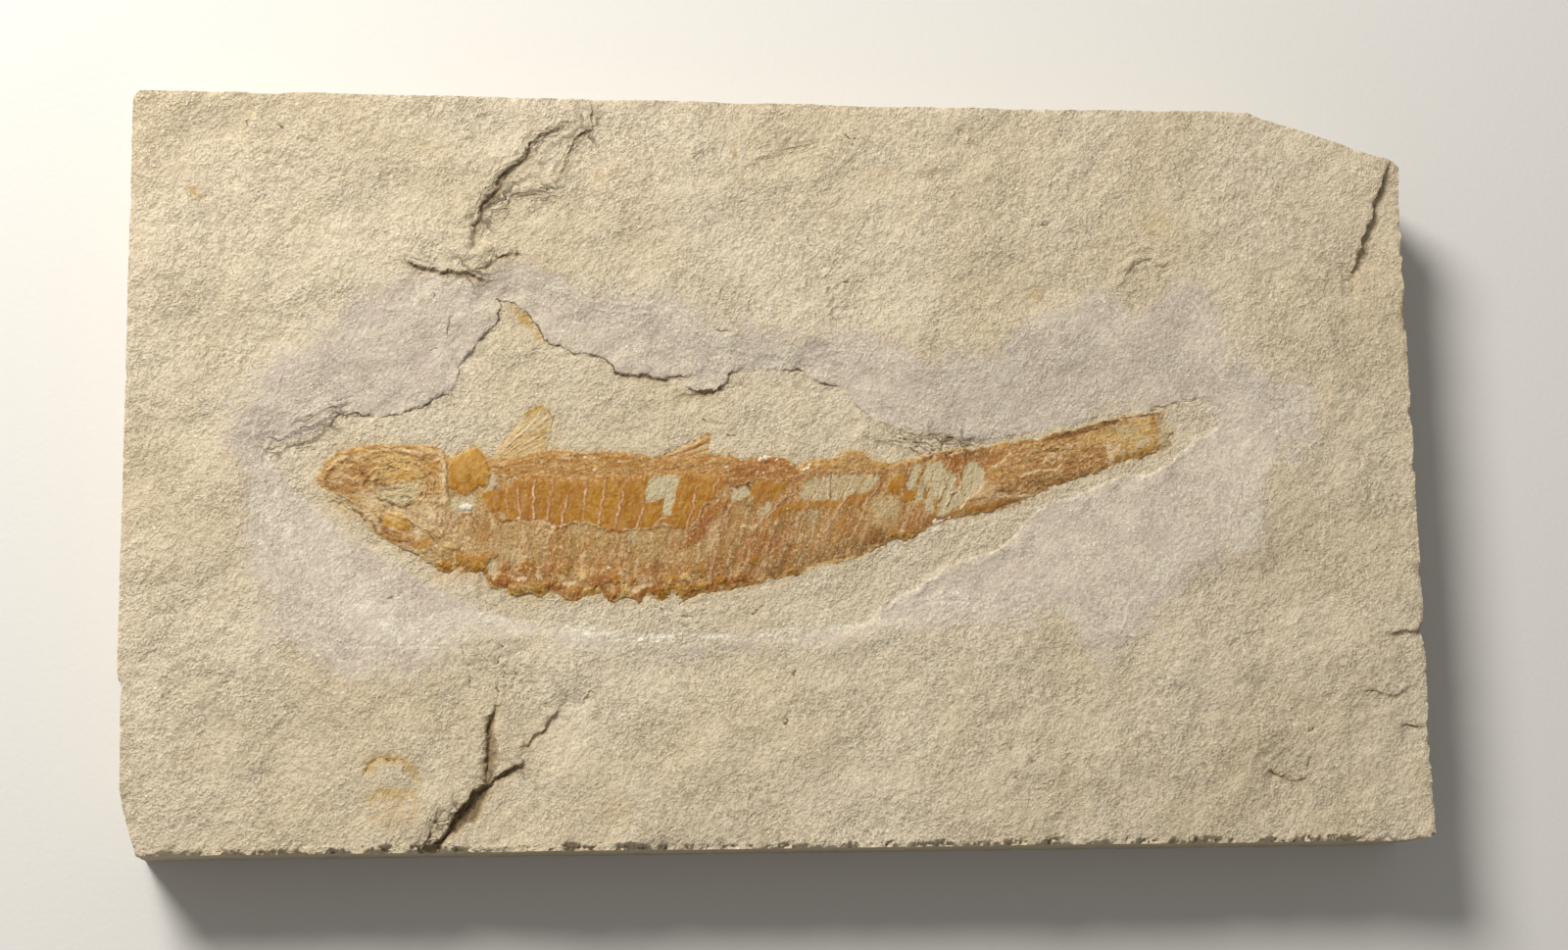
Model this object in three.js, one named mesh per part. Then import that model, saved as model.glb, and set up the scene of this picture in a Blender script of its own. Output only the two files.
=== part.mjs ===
// A fossil fish lying face up in a trimmed slab of fine limestone. Sizes are in millimetres.
// X runs from the fish's head to its tail, Y from its belly to its back, and Z up from the
// slab's underside, which lies on the table. X and Y are measured from the slab's middle.
import * as THREE from "three";

// Driving dimensions
const SLAB_LENGTH = 134;
const SLAB_WIDTH = 78;
const SLAB_THICKNESS = 12;
const BED_LEVEL = 10.5; // the bedding plane that the fish lies on
const CUT_CORNER = { along: 15.6, down: 5.2 }; // the sawn-off corner beyond the tail
const WORN_CORNER = { along: 1.5, up: 7 }; // the slanting corner below the head
const PIECE_GAP = 0.3; // between neighbouring pieces of the fish
const SCALE_PITCH = 1.8; // from one deep flank scale to the next
const SCALE_LEAN = 0.35; // forward for each millimetre up, where the rows lean most

// Grid cells of the slab's faceted top, and how much closer its rows lie near the fish
const SLAB_CELLS = [60, 33];
const SLAB_ROW_CROWDING = 0.4;

// The fish's upper and lower edge, as points from the snout to the end of the tail
const BACK = [
  [-48.1, -0.7], [-47.2, 0.8], [-44.5, 2.2], [-41.5, 2.7], [-38, 2.4], [-35.3, 2.1], [-33.2, 1.9],
  [-31, 0.9], [-27, 1.5], [-23.5, 1.9], [-18, 1.9], [-13, 1.3], [-8, 1.7], [-4, 1.1], [1, 0.7],
  [6.5, 2], [10, 0.9], [15, 1.8], [20, 2.4], [26, 3.5], [32, 5], [38, 6.2], [41.4, 6.7],
];
const BELLY = [
  [-48.1, -1.7], [-46.8, -3], [-44, -5], [-41.8, -7.2], [-38.5, -8.8], [-36, -10.5], [-33, -11.1],
  [-28.5, -13.1], [-22, -13.7], [-15, -13.6], [-9, -13], [-4, -12.3], [1.3, -10.9], [8, -8.8],
  [14.5, -6.2], [20, -4.5], [26, -2.9], [33, -0.1], [38, 1.6], [41.4, 2.6],
];
const SNOUT_X = -48;
const SKULL_END_X = -35.2;
const GILL_COVER_END_X = -30.6;
const TAIL_START_X = 20;
const TAIL_END_X = 41.3;

// The preparator's scraped hollow: its outer rim, and the natural bedding left inside it
const HOLLOW_RIM = [
  [-56, 3], [-55, 8], [-52, 13], [-47, 16.5], [-42, 18], [-36, 20], [-30, 20.5], [-24, 22],
  [-14, 19.5], [-7, 16], [3, 15], [15, 15], [22, 14], [28, 18.5], [36, 19], [45, 20.5], [50, 16],
  [50, 9.5], [57, 9.5], [56, 3], [51, -5], [45, -10.5], [38, -15.5], [33, -19.5], [28, -17],
  [18, -16.5], [8, -18], [-10, -19.5], [-26, -18.5], [-33, -18.5], [-42, -21], [-49, -19.5],
  [-54, -12], [-56, -4],
];
const BEDDING_EDGE = [
  [-52.5, 1.8], [-46, 4.6], [-38.7, 6], [-34.3, 9], [-33.2, 11.8], [-29.3, 16.4], [-28, 17.2],
  [-24.8, 13.7], [-18.7, 11.6], [-16, 9.9], [-9, 9.7], [-7, 8.4], [-5.4, 10.2], [1.5, 10.4],
  [6.3, 8], [13, 4.6], [20, 4], [32, 6.2], [42.5, 7.6], [45.5, 4.5], [39.5, 0.2], [30, -2.2],
  [26.5, -4], [20, -8.9], [10.3, -13.8], [3, -16.8], [-10, -18], [-20, -17.4], [-28, -16.5],
  [-34, -14], [-40, -10], [-47, -5], [-50.5, -2],
];
const RING_SHARE = 0.7; // how much of the hollow's depth is scraped slope; the rest is the ledge
const FLAT_MARGIN = 3; // flat bedding left round the fish
const FLAT_RELEASE = 2; // over which the ledges come back beyond that margin

// Fractures that end as a small step down: drop is the step's height where it is tallest,
// and reach is how far the low side takes to come back level. The low side is on the right
// of the line as it is listed.
const FRACTURES = [
  { // broken edge below the head, tallest at the slab's front edge
    line: [[-26, -29.3], [-29, -31], [-31.5, -33], [-33, -35.9], [-37.3, -39]],
    drop: 1.1, reach: 7, tallest: 1, mirrored: true,
  },
  { // its branch, running up beside it
    line: [[-31, -32.2], [-30.9, -28.5], [-30.3, -24.4]],
    drop: 0.6, reach: 4, tallest: 0, mirrored: false,
  },
  { // stepped break from the back edge towards the head
    line: [[-33.2, 21.8], [-32.2, 25.5], [-29.8, 30], [-26, 34.5], [-21, 37]],
    drop: 0.7, reach: 8, tallest: 0.5, mirrored: false,
  },
  { // crack that frees a sliver at the right-hand edge
    line: [[60.9, 21.1], [62.8, 25], [64.4, 29], [66.4, 33.8]],
    drop: 0.7, reach: 5, tallest: 0.6, mirrored: false,
  },
];

// Chips along the slab's upper edges: the least and the most depth, out to this far from it
const FRONT_CHIPS = { least: 0.25, most: 1 };
const RIGHT_CHIPS = { least: 0.15, most: 0.6 };
const CHIP_REACH = 0.5;
const STONE_SWELL = 0.2; // how far the split face rises and falls about its mean

// Heights of the fish's relief above the bed
const EDGE_HEIGHT = 0.3; // where the fossil's film ends all round
const CROWN = { skull: 0.4, gill_cover: 0.3, body: 0.35, tail: 0.35 }; // from edge to ridge
const ROOF_BONE = { height: 0.18, from: 0.6, full: 0.9 }; // along the skull's upper edge
const EYE_SOCKET = { centre: [-40.6, -0.6], radii: [3.4, 1.3], turn: -0.15, depth: 0.3 };
const JAW_BONE = { centre: [-40, -5.8], radii: [2.3, 1.2], turn: -0.6, height: 0.28 };
const THROAT_BONE = { centre: [-37.2, -7.6], radii: [1.6, 1], turn: -0.6, height: 0.22 };
const GILL_PLATE = { centre: [-33, -0.4], radii: [2.4, 2.5], turn: 0, height: 0.3 };
const SHOULDER_SCALE = { centre: [-32, -9.7], radii: [1.4, 1.2], turn: 0, height: 0.15 };
const FLANK_ROW = { low: [0.42, 0.5], high: [0.88, 0.95], height: 0.15, groove: 0.25 };
const BELLY_KNOBS = { fade: [0.1, 0.22], height: 0.2 };
const TAIL_RAYS = { count: 5, height: 0.12, thinning: 0.4 };
const FIN_THICKNESS = 0.2;
const FIN_RIDGE = { height: 0.15, thinning: 0.5 };

// Grid cells of the fish's pieces: along its length, then from its belly to its back
const SKULL_CELLS = [24, 14];
const GILL_CELLS = [9, 16];
const BODY_ROWS = 10;
const COLUMNS_PER_SCALE = 4;
const TAIL_CELLS = [24, 10];
const FIN_ROWS = 5;

// Front fin and back fin, each a fan from its root out to its tip
const FRONT_FIN = {
  root: [[-30, 2.2], [-26.4, 2.1]],
  tip: [[-26.2, 6.9], [-24, 5]],
  rays: 7,
};
const BACK_FIN = {
  root: [[-13.6, 1.9], [-7.4, 2.2]],
  tip: [[-8.5, 4.1], [-7.5, 3.3]],
  rays: 6,
};

const clamp = THREE.MathUtils.clamp;
const lerp = THREE.MathUtils.lerp;
const smoothstep = THREE.MathUtils.smoothstep;

// Reads a list of points with rising x as a smooth curve y(x).
function profile(points) {
  const slope = points.map((p, i) => {
    const before = points[Math.max(i - 1, 0)];
    const after = points[Math.min(i + 1, points.length - 1)];
    return (after[1] - before[1]) / (after[0] - before[0]);
  });
  return (x) => {
    let i = 0;
    while (i < points.length - 2 && points[i + 1][0] < x) i++;
    const [x0, y0] = points[i];
    const [x1, y1] = points[i + 1];
    const t = clamp((x - x0) / (x1 - x0), 0, 1);
    const width = x1 - x0;
    return (
      y0 * (1 + 2 * t) * (1 - t) ** 2 +
      slope[i] * width * t * (1 - t) ** 2 +
      y1 * t * t * (3 - 2 * t) +
      slope[i + 1] * width * t * t * (t - 1)
    );
  };
}

// The nearest point of a line of points: its distance, on which side the asked point lies
// (+1 on the right, -1 on the left), and how far along the line it is, from 0 to 1.
function nearestOn(line, x, y) {
  let best = { distance: Infinity, side: 1, along: 0 };
  for (let i = 0; i < line.length - 1; i++) {
    const [ax, ay] = line[i];
    const [dx, dy] = [line[i + 1][0] - ax, line[i + 1][1] - ay];
    const t = clamp(((x - ax) * dx + (y - ay) * dy) / (dx * dx + dy * dy), 0, 1);
    const [ox, oy] = [x - ax - t * dx, y - ay - t * dy];
    const distance = Math.hypot(ox, oy);
    if (distance < best.distance) {
      best = {
        distance,
        side: dx * oy - dy * ox < 0 ? 1 : -1,
        along: (i + t) / (line.length - 1),
      };
    }
  }
  return best;
}

// Distance to a closed outline, positive inside it and negative outside.
function depthInside(outline, x, y) {
  let inside = false;
  for (let i = 0, j = outline.length - 1; i < outline.length; j = i++) {
    const [xi, yi] = outline[i];
    const [xj, yj] = outline[j];
    if (yi > y !== yj > y && x < ((xj - xi) * (y - yi)) / (yj - yi) + xi) inside = !inside;
  }
  const distance = nearestOn([...outline, outline[0]], x, y).distance;
  return inside ? distance : -distance;
}

// Slow waves that keep a split surface from being flat, between about -1 and 1.
function unevenness(x, y) {
  return (
    0.5 * Math.sin(0.21 * x + 1.3 * Math.sin(0.17 * y)) +
    0.3 * Math.sin(0.47 * y - 0.31 * x + 2) +
    0.2 * Math.sin(0.83 * x + 0.59 * y)
  );
}

const backY = profile(BACK);
const bellyY = profile(BELLY);

// The whole fish's outline with its fins, for the flat bed that it lies on.
function fishOutlines() {
  const body = [];
  const steps = 40;
  for (let i = 0; i <= steps; i++) {
    const x = lerp(SNOUT_X, TAIL_END_X, i / steps);
    body.push([x, backY(x)]);
  }
  for (let i = steps; i >= 0; i--) {
    const x = lerp(SNOUT_X, TAIL_END_X, i / steps);
    body.push([x, bellyY(x)]);
  }
  const fins = [FRONT_FIN, BACK_FIN].map(({ root, tip }) => [root[0], tip[0], tip[1], root[1]]);
  return [body, ...fins];
}
const FISH_OUTLINES = fishOutlines();

// Builds a closed solid from a grid of points: place(u, v) gives a point's x and y, top(x, y,
// u, v) its height, and the underside is flat at base.
function reliefSolid([columns, rows], place, top, base) {
  const positions = [];
  const index = [];
  const at = (i, j) => j * (columns + 1) + i;
  for (let j = 0; j <= rows; j++) {
    for (let i = 0; i <= columns; i++) {
      const [u, v] = [i / columns, j / rows];
      const [x, y] = place(u, v);
      positions.push(x, y, top(x, y, u, v));
    }
  }
  for (let j = 0; j < rows; j++) {
    for (let i = 0; i < columns; i++) {
      index.push(at(i, j), at(i + 1, j), at(i + 1, j + 1));
      index.push(at(i, j), at(i + 1, j + 1), at(i, j + 1));
    }
  }
  const rim = [];
  for (let i = 0; i < columns; i++) rim.push(at(i, 0));
  for (let j = 0; j < rows; j++) rim.push(at(columns, j));
  for (let i = columns; i > 0; i--) rim.push(at(i, rows));
  for (let j = rows; j > 0; j--) rim.push(at(0, j));

  const under = positions.length / 3;
  rim.forEach((r) => positions.push(positions[3 * r], positions[3 * r + 1], base));
  rim.forEach((r, k) => {
    const next = (k + 1) % rim.length;
    index.push(r, under + k, under + next);
    index.push(r, under + next, rim[next]);
  });
  const flat = rim.map((r) => new THREE.Vector2(positions[3 * r], positions[3 * r + 1]));
  THREE.ShapeUtils.triangulateShape(flat, []).forEach(([a, b, c]) => {
    index.push(under + c, under + b, under + a);
  });
  const geometry = new THREE.BufferGeometry();
  geometry.setAttribute("position", new THREE.Float32BufferAttribute(positions, 3));
  geometry.setIndex(index);
  geometry.computeVertexNormals();
  return geometry;
}

// How much of the hollow's full depth a point lies at: 0 on the stone round it, 1 on the bed.
function hollowShare(x, y) {
  const fromRim = depthInside(HOLLOW_RIM, x, y);
  const inBedding = depthInside(BEDDING_EDGE, x, y);
  let share = 0;
  if (inBedding > 0) share = 1;
  else if (fromRim > 0) share = RING_SHARE * smoothstep(fromRim / (fromRim - inBedding), 0, 1);
  const fishDistance = -Math.max(...FISH_OUTLINES.map((o) => depthInside(o, x, y)));
  const held = 1 - smoothstep(fishDistance, FLAT_MARGIN, FLAT_MARGIN + FLAT_RELEASE);
  return lerp(share, 1, held);
}

// How far the fractures drop the surface at a point.
function fractureDrop(x, y) {
  const drops = FRACTURES.map(({ line, drop, reach, tallest, mirrored }) => {
    const near = nearestOn(line, x, y);
    if (near.side === (mirrored ? 1 : -1)) return 0;
    const away = Math.abs(near.along - tallest) / Math.max(tallest, 1 - tallest);
    return drop * (1 - away * away) * Math.exp(-((near.distance / reach) ** 2));
  });
  return Math.max(...drops);
}

// The small chips along the slab's upper edges, deepest on the front edge.
function edgeChip(x, y) {
  const toFront = y + SLAB_WIDTH / 2;
  const toRight = SLAB_LENGTH / 2 - x;
  const rough = 0.5 + 0.5 * Math.sin(1.9 * x + 2.3 * Math.sin(0.7 * x) + 1.1 * y);
  const front = toFront < CHIP_REACH ? lerp(FRONT_CHIPS.least, FRONT_CHIPS.most, rough) : 0;
  const right = toRight < CHIP_REACH ? lerp(RIGHT_CHIPS.least, RIGHT_CHIPS.most, rough) : 0;
  return Math.max(front, right);
}

// The slab: sawn sides, a split upper face with the scraped hollow, and a flat underside.
function limestoneSlab() {
  const [halfLength, halfWidth] = [SLAB_LENGTH / 2, SLAB_WIDTH / 2];
  const backEdge = (x) => {
    const past = Math.max(0, x - (halfLength - CUT_CORNER.along));
    return halfWidth - (past * CUT_CORNER.down) / CUT_CORNER.along;
  };
  const leftEdge = (y) => {
    const below = Math.max(0, WORN_CORNER.up - halfWidth - y);
    return (below * WORN_CORNER.along) / WORN_CORNER.up - halfLength;
  };
  const place = (u, v) => {
    const across = lerp(-halfLength, halfLength, u);
    const crowded = v + (SLAB_ROW_CROWDING * Math.sin(2 * Math.PI * v)) / (2 * Math.PI);
    const y = lerp(-halfWidth, backEdge(across), crowded);
    return [lerp(leftEdge(y), halfLength, u), y];
  };
  const top = (x, y) => {
    const share = hollowShare(x, y);
    const stone = SLAB_THICKNESS + STONE_SWELL * (unevenness(x, y) - 1);
    const drop = (1 - share) * (fractureDrop(x, y) + edgeChip(x, y));
    return lerp(stone, BED_LEVEL, share) - drop;
  };
  return reliefSolid(SLAB_CELLS, place, top, 0);
}

// How much the rows of scales lean: upright at the gill cover, most at the tail's root.
function leanAt(x) {
  const rising = smoothstep(x, GILL_COVER_END_X, TAIL_START_X);
  return SCALE_LEAN * rising * (1 - smoothstep(x, TAIL_START_X, TAIL_END_X));
}

// A band of the fish between two stations on its length, with columns that lean.
function fishBand(cells, startX, endX, height) {
  const place = (u, v) => {
    const x = lerp(startX, endX, u);
    const lean = leanAt(x);
    const middle = (backY(x) + bellyY(x)) / 2;
    const high = backY(x + lean * (backY(x) - middle));
    const low = bellyY(x + lean * (bellyY(x) - middle));
    const y = lerp(low, high, v);
    return [x + lean * (y - middle), y];
  };
  return reliefSolid(cells, place, height, 0);
}

// The rounded cross-section that every band shares: 0 at its upper and lower edge, 1 between.
function crown(v) {
  return Math.sqrt(Math.max(0, 1 - (2 * v - 1) ** 4));
}

// A rounded boss or dent on a surface: 1 at its centre and 0 beyond its two radii.
function boss(x, y, { centre, radii, turn }) {
  const [c, s] = [Math.cos(turn), Math.sin(turn)];
  const [dx, dy] = [x - centre[0], y - centre[1]];
  const r2 = ((dx * c + dy * s) / radii[0]) ** 2 + ((dy * c - dx * s) / radii[1]) ** 2;
  return Math.sqrt(Math.max(0, 1 - r2));
}

// Skull and jaw: the domed roof bones, the eye socket and the lobed jaw bones under it.
function skull() {
  const height = (x, y, u, v) => {
    const onRoof = smoothstep(v, ROOF_BONE.from, ROOF_BONE.full) - smoothstep(v, ROOF_BONE.full, 1);
    const bones = [JAW_BONE, THROAT_BONE].map((bone) => bone.height * boss(x, y, bone));
    const socket = EYE_SOCKET.depth * boss(x, y, EYE_SOCKET);
    const dome = EDGE_HEIGHT + (CROWN.skull - socket) * crown(v);
    return dome + ROOF_BONE.height * onRoof + Math.max(...bones);
  };
  return fishBand(SKULL_CELLS, SNOUT_X, SKULL_END_X, height);
}

// Gill cover: a smooth round plate above the crushed bones of the throat.
function gillCover() {
  const height = (x, y, u, v) => {
    const plates = [GILL_PLATE, SHOULDER_SCALE].map((plate) => plate.height * boss(x, y, plate));
    return EDGE_HEIGHT + CROWN.gill_cover * crown(v) + Math.max(...plates);
  };
  return fishBand(GILL_CELLS, SKULL_END_X + PIECE_GAP, GILL_COVER_END_X, height);
}

// Body: one row of deep flank scales with a groove between each two, a smoother lower
// flank, and knobbly scales along the belly.
function scaledBody() {
  const startX = GILL_COVER_END_X + PIECE_GAP;
  const endX = TAIL_START_X;
  const scales = Math.round((endX - startX) / SCALE_PITCH);
  const height = (x, y, u, v) => {
    const column = Math.round(u * scales * COLUMNS_PER_SCALE);
    const groove = column % COLUMNS_PER_SCALE === 0 ? FLANK_ROW.groove : 0;
    const flank = smoothstep(v, ...FLANK_ROW.low) * (1 - smoothstep(v, ...FLANK_ROW.high));
    const belly = 1 - smoothstep(v, ...BELLY_KNOBS.fade);
    const knob = BELLY_KNOBS.height * Math.abs(Math.sin(u * scales * Math.PI));
    const skin = EDGE_HEIGHT + CROWN.body * crown(v);
    return skin + flank * (FLANK_ROW.height - groove) + belly * knob;
  };
  return fishBand([COLUMNS_PER_SCALE * scales, BODY_ROWS], startX, endX, height);
}

// Tail: a tapering stalk with rays fanning along it to a ragged end.
function tail() {
  const height = (x, y, u, v) => {
    const ray = 0.5 + 0.5 * Math.cos(v * TAIL_RAYS.count * 2 * Math.PI);
    const stalk = CROWN.tail * (1 - TAIL_RAYS.thinning * u);
    return EDGE_HEIGHT + (stalk + TAIL_RAYS.height * ray) * crown(v);
  };
  return fishBand(TAIL_CELLS, TAIL_START_X + PIECE_GAP, TAIL_END_X, height);
}

// A fin: a thin fan with one raised ridge for each ray.
function fin({ root, tip, rays }) {
  const place = (u, v) => [0, 1].map((k) => {
    const near = lerp(root[0][k], root[1][k], u);
    const far = lerp(tip[0][k], tip[1][k], u);
    return lerp(near, far, v);
  });
  const height = (x, y, u, v) => {
    const ridge = Math.abs(Math.sin(u * rays * Math.PI));
    return FIN_THICKNESS + FIN_RIDGE.height * ridge * (1 - FIN_RIDGE.thinning * v);
  };
  return reliefSolid([2 * rays, FIN_ROWS], place, height, 0);
}

function mesh(name, geometry, color, roughness) {
  const material = new THREE.MeshStandardMaterial({ color, roughness, metalness: 0 });
  const made = new THREE.Mesh(geometry, material);
  made.name = name;
  return made;
}

const LIMESTONE = 0xcfbfa3;
const BONE = 0xbd9c6c;
const AMBER_SCALE = 0xb07c3c;
const PALE_FIN = 0xd2b07a;

const fish = new THREE.Group();
fish.position.z = BED_LEVEL;
fish.add(
  mesh("skull", skull(), BONE, 0.6),
  mesh("gill_cover", gillCover(), AMBER_SCALE, 0.45),
  mesh("scaled_body", scaledBody(), AMBER_SCALE, 0.5),
  mesh("tail", tail(), BONE, 0.6),
  mesh("front_fin", fin(FRONT_FIN), PALE_FIN, 0.65),
  mesh("back_fin", fin(BACK_FIN), PALE_FIN, 0.65),
);

const fossil = new THREE.Group();
fossil.add(mesh("limestone_slab", limestoneSlab(), LIMESTONE, 0.9), fish);

export default fossil;
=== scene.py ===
"""A fossil fish lying in a scraped hollow in a trimmed slab of fine limestone.

Lengths are in millimetres, and put_mesh turns them into metres. X runs from the fish's head
to its tail, Y from its belly to its back and Z up from the slab's underside. X and Y are
measured from the slab's middle.
"""

import math
from collections import namedtuple

import bpy
import numpy as np
from mathutils import Matrix, Vector
from mathutils.geometry import delaunay_2d_cdt


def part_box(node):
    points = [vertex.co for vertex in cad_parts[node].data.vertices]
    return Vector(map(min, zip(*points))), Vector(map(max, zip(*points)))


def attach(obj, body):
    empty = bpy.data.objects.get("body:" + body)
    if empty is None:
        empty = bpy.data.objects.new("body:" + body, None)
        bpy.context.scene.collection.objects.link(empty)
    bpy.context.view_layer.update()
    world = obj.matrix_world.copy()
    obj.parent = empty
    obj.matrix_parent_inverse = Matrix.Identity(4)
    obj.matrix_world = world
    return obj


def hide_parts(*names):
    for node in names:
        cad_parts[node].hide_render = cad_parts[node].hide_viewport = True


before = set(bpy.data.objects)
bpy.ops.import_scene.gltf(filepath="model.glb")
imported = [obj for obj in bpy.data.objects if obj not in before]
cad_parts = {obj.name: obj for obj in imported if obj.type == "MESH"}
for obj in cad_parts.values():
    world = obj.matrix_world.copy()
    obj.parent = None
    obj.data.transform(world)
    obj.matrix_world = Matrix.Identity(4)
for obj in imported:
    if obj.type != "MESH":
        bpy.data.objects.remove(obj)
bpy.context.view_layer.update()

METRES = 0.001  # in a millimetre
SLAB_LOW, SLAB_HIGH = [np.array(corner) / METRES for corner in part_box("limestone_slab")]
SLAB_THICKNESS = SLAB_HIGH[2]
BED_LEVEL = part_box("scaled_body")[0][2] / METRES

# The camera: where it stands, which point it looks at, and how far it is rolled
CAMERA_EYE = (-39.8, -52.4, 303.8)
CAMERA_TARGET = (-0.51, -0.68, 11.2)
CAMERA_ROLL_DEG = 1.07
CAMERA_LENS = 66.6
CAMERA_SENSOR = 36.0

# Between the stone's points: along its outline, on plain ground, along breaks and underneath
OUTLINE_PITCH = 0.28
COARSE_PITCH = 0.42
FINE_PITCH = 0.15
BASE_PITCH = 3
SIDE_ROWS = 8  # rows of faces down the stone's sides
# The angle in degrees from which an edge between two faces is drawn sharp
STONE_SHARP_DEG = 48
FILM_SHARP_DEG = 40
# The slab's outline seen from above, anticlockwise from its lower left corner
SLAB_OUTLINE = [
    (-65.4, -39), (66.2, -39), (66.9, -38.8), (67.2, -38.2), (67.2, -10), (67.2, 33.4),
    (66.6, 34), (64, 34.7), (61, 35.8), (58, 36.8), (55, 37.8), (52.5, 38.5), (51, 39.1),
    (49.5, 39.3), (20, 39.1), (-39, 39.2), (-50.8, 39.3), (-52, 39.15), (-54.5, 39.1), (-56, 39.2),
    (-66.5, 39.1), (-67.2, 38.4), (-67.3, 20), (-67.6, -21.8), (-67.2, -22.4), (-67.1, -32.5),
    (-66.9, -33.7), (-66.2, -36.4),
]
NOTCHES = [  # places on the outline where a splinter is gone: (x, y, radius, depth)
    (67.2, 22, 1, 0.25), (67.2, 6.2, 0.8, 0.25), (67.2, 1, 0.7, 0.2),
    (67.2, -17, 0.9, 0.4), (67.2, -27, 0.8, 0.3), (67.2, -30.5, 0.7, 0.25), (65.6, -39, 1.3, 0.3),
    (-53, 39, 1.3, 0.1), (-67.5, -22, 0.9, 0.2), (-67.3, 9, 0.7, 0.12), (-67.2, 27, 0.8, 0.12),
]

# The hollow that was scraped round the fish: its rim on the stone's natural face
HOLLOW_RIM = [
    (-57, 6), (-54, 11), (-48, 15.5), (-43, 18), (-38, 20), (-33, 20.5), (-28, 22), (-22, 20),
    (-13, 18.5), (-8, 17), (-5, 15.5), (0, 15), (5, 14.8), (10, 15), (13, 14), (16, 12), (20, 13),
    (25, 16), (30, 17.5), (33, 19.5), (37, 17.5), (42, 20.8), (45, 20.5), (48, 16), (48.5, 12),
    (52, 11), (57, 10), (56, 6), (57, 3), (52, 0), (51, -3), (50, -8), (46, -10), (43, -11),
    (41, -13), (37.5, -16), (36, -19), (33, -20), (30, -18), (27, -15.5), (20, -16.5), (10, -17.5),
    (4, -18.4), (-10, -19.4), (-19, -18.9), (-26, -18), (-30, -17.5), (-34, -18.8), (-38, -20.6),
    (-42, -22), (-46, -21.5), (-50, -19), (-53, -17), (-53.5, -14), (-55, -10), (-56, -6), (-57, 0),
]
# The natural bedding plane left inside the hollow, where the fish lies
BEDDING_EDGE = [
    (-53.2, 1.8), (-51, 2.8), (-49, 3.4), (-47, 4.6), (-46, 5.3), (-44.5, 5.6), (-42, 5),
    (-39.5, 5.7), (-38, 6.2), (-36.5, 7.2), (-34.8, 7.9), (-34, 9), (-33.9, 10.5), (-33, 11.8),
    (-31.5, 13.5), (-30, 15.3), (-29.6, 17), (-30.2, 17.9), (-29, 17.6), (-27.5, 16.9), (-26.8, 16),
    (-25.8, 14.8), (-25, 13.5), (-23.5, 12.7), (-22, 11.9), (-21, 12.1), (-18.8, 11.6), (-18, 10),
    (-16, 9.9), (-14.5, 9.7), (-13, 9.3), (-12, 9.4), (-10.5, 8.7), (-9.2, 8.1), (-7.3, 8.2),
    (-6.5, 8.9), (-6, 10), (-5, 10.4), (-3.5, 10.2), (-2, 10.7), (-0.5, 10.5), (1.3, 10.5),
    (2.5, 9.8), (3.5, 9.1), (5.2, 8.8), (6.5, 8), (8, 6.2), (10.3, 4.6), (13, 4.3), (17, 3.9),
    (19.5, 3), (23, 3.4), (27, 4.2), (33, 5.8), (40, 7), (43, 7.8), (45.2, 7.6), (46, 5),
    (44.5, 3.5), (42.5, 2.7), (41, 1.2), (38.5, -0.3), (36, -0.5), (31, -2.2), (26.3, -4.2),
    (25, -5.5), (23, -7.5), (22, -8.3), (20, -8.9), (17, -10), (15, -11.3), (13, -12.5),
    (11, -13.6), (9, -15.2), (7, -16.5), (4, -16.9), (-2, -17), (-5, -17.3), (-7, -17.8),
    (-10, -18), (-13, -17.8), (-16, -17.6), (-19, -17.3), (-24, -16.4), (-30, -15), (-36, -12.5),
    (-41, -9.6), (-45, -6.8), (-49, -3.6), (-51.5, -1),
]
# How much of the hollow's depth is left to the ledge at the bedding's northern edge, by x
NORTH_LEDGE = [
    (-53, 0.08), (-46, 0.2), (-38, 0.22), (-33, 0.25), (-29, 0.2), (-18, 0.22), (-13, 0.35),
    (-11.5, 0.1), (-9, 0.25), (5, 0.15), (9, 0.08), (20, 0.15), (27, 0.04), (38, 0.04), (43, 0.1),
]
# The same at its southern edge
SOUTH_LEDGE = [
    (-50, 0.02), (-38, 0.03), (-18, 0.05), (-6, 0.06), (5, 0.1), (12, 0.25), (20, 0.3), (25, 0.25),
    (29, 0.06), (36, 0.25), (41, 0.22), (44, 0.06),
]
# How wide the crack along the bedding's northern edge stands open, by x; it is drawn as a dark line of
# painted shade
BEDDING_GAPE = [
    (-53, 0), (-47.5, 0.03), (-46, 0.1), (-41, 0.09), (-37, 0.07), (-33, 0.02), (-30, 0.05),
    (-24, 0.06), (-20, 0.03), (-17, 0.09), (-13, 0.1), (-11.5, 0), (-9, 0.09), (-7, 0.06),
    (-4, 0.04), (-1, 0.03), (1.5, 0.07), (4, 0.07), (6, 0.03), (9, 0.03), (12, 0), (37, 0),
    (40, 0.05), (42.5, 0.03), (45, 0.03),
]
# The line between the northern and the southern half of the bedding
FISH_AXIS = [(-50, -1), (-30, -5), (0, -5), (20, -1), (45, 5)]

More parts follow.
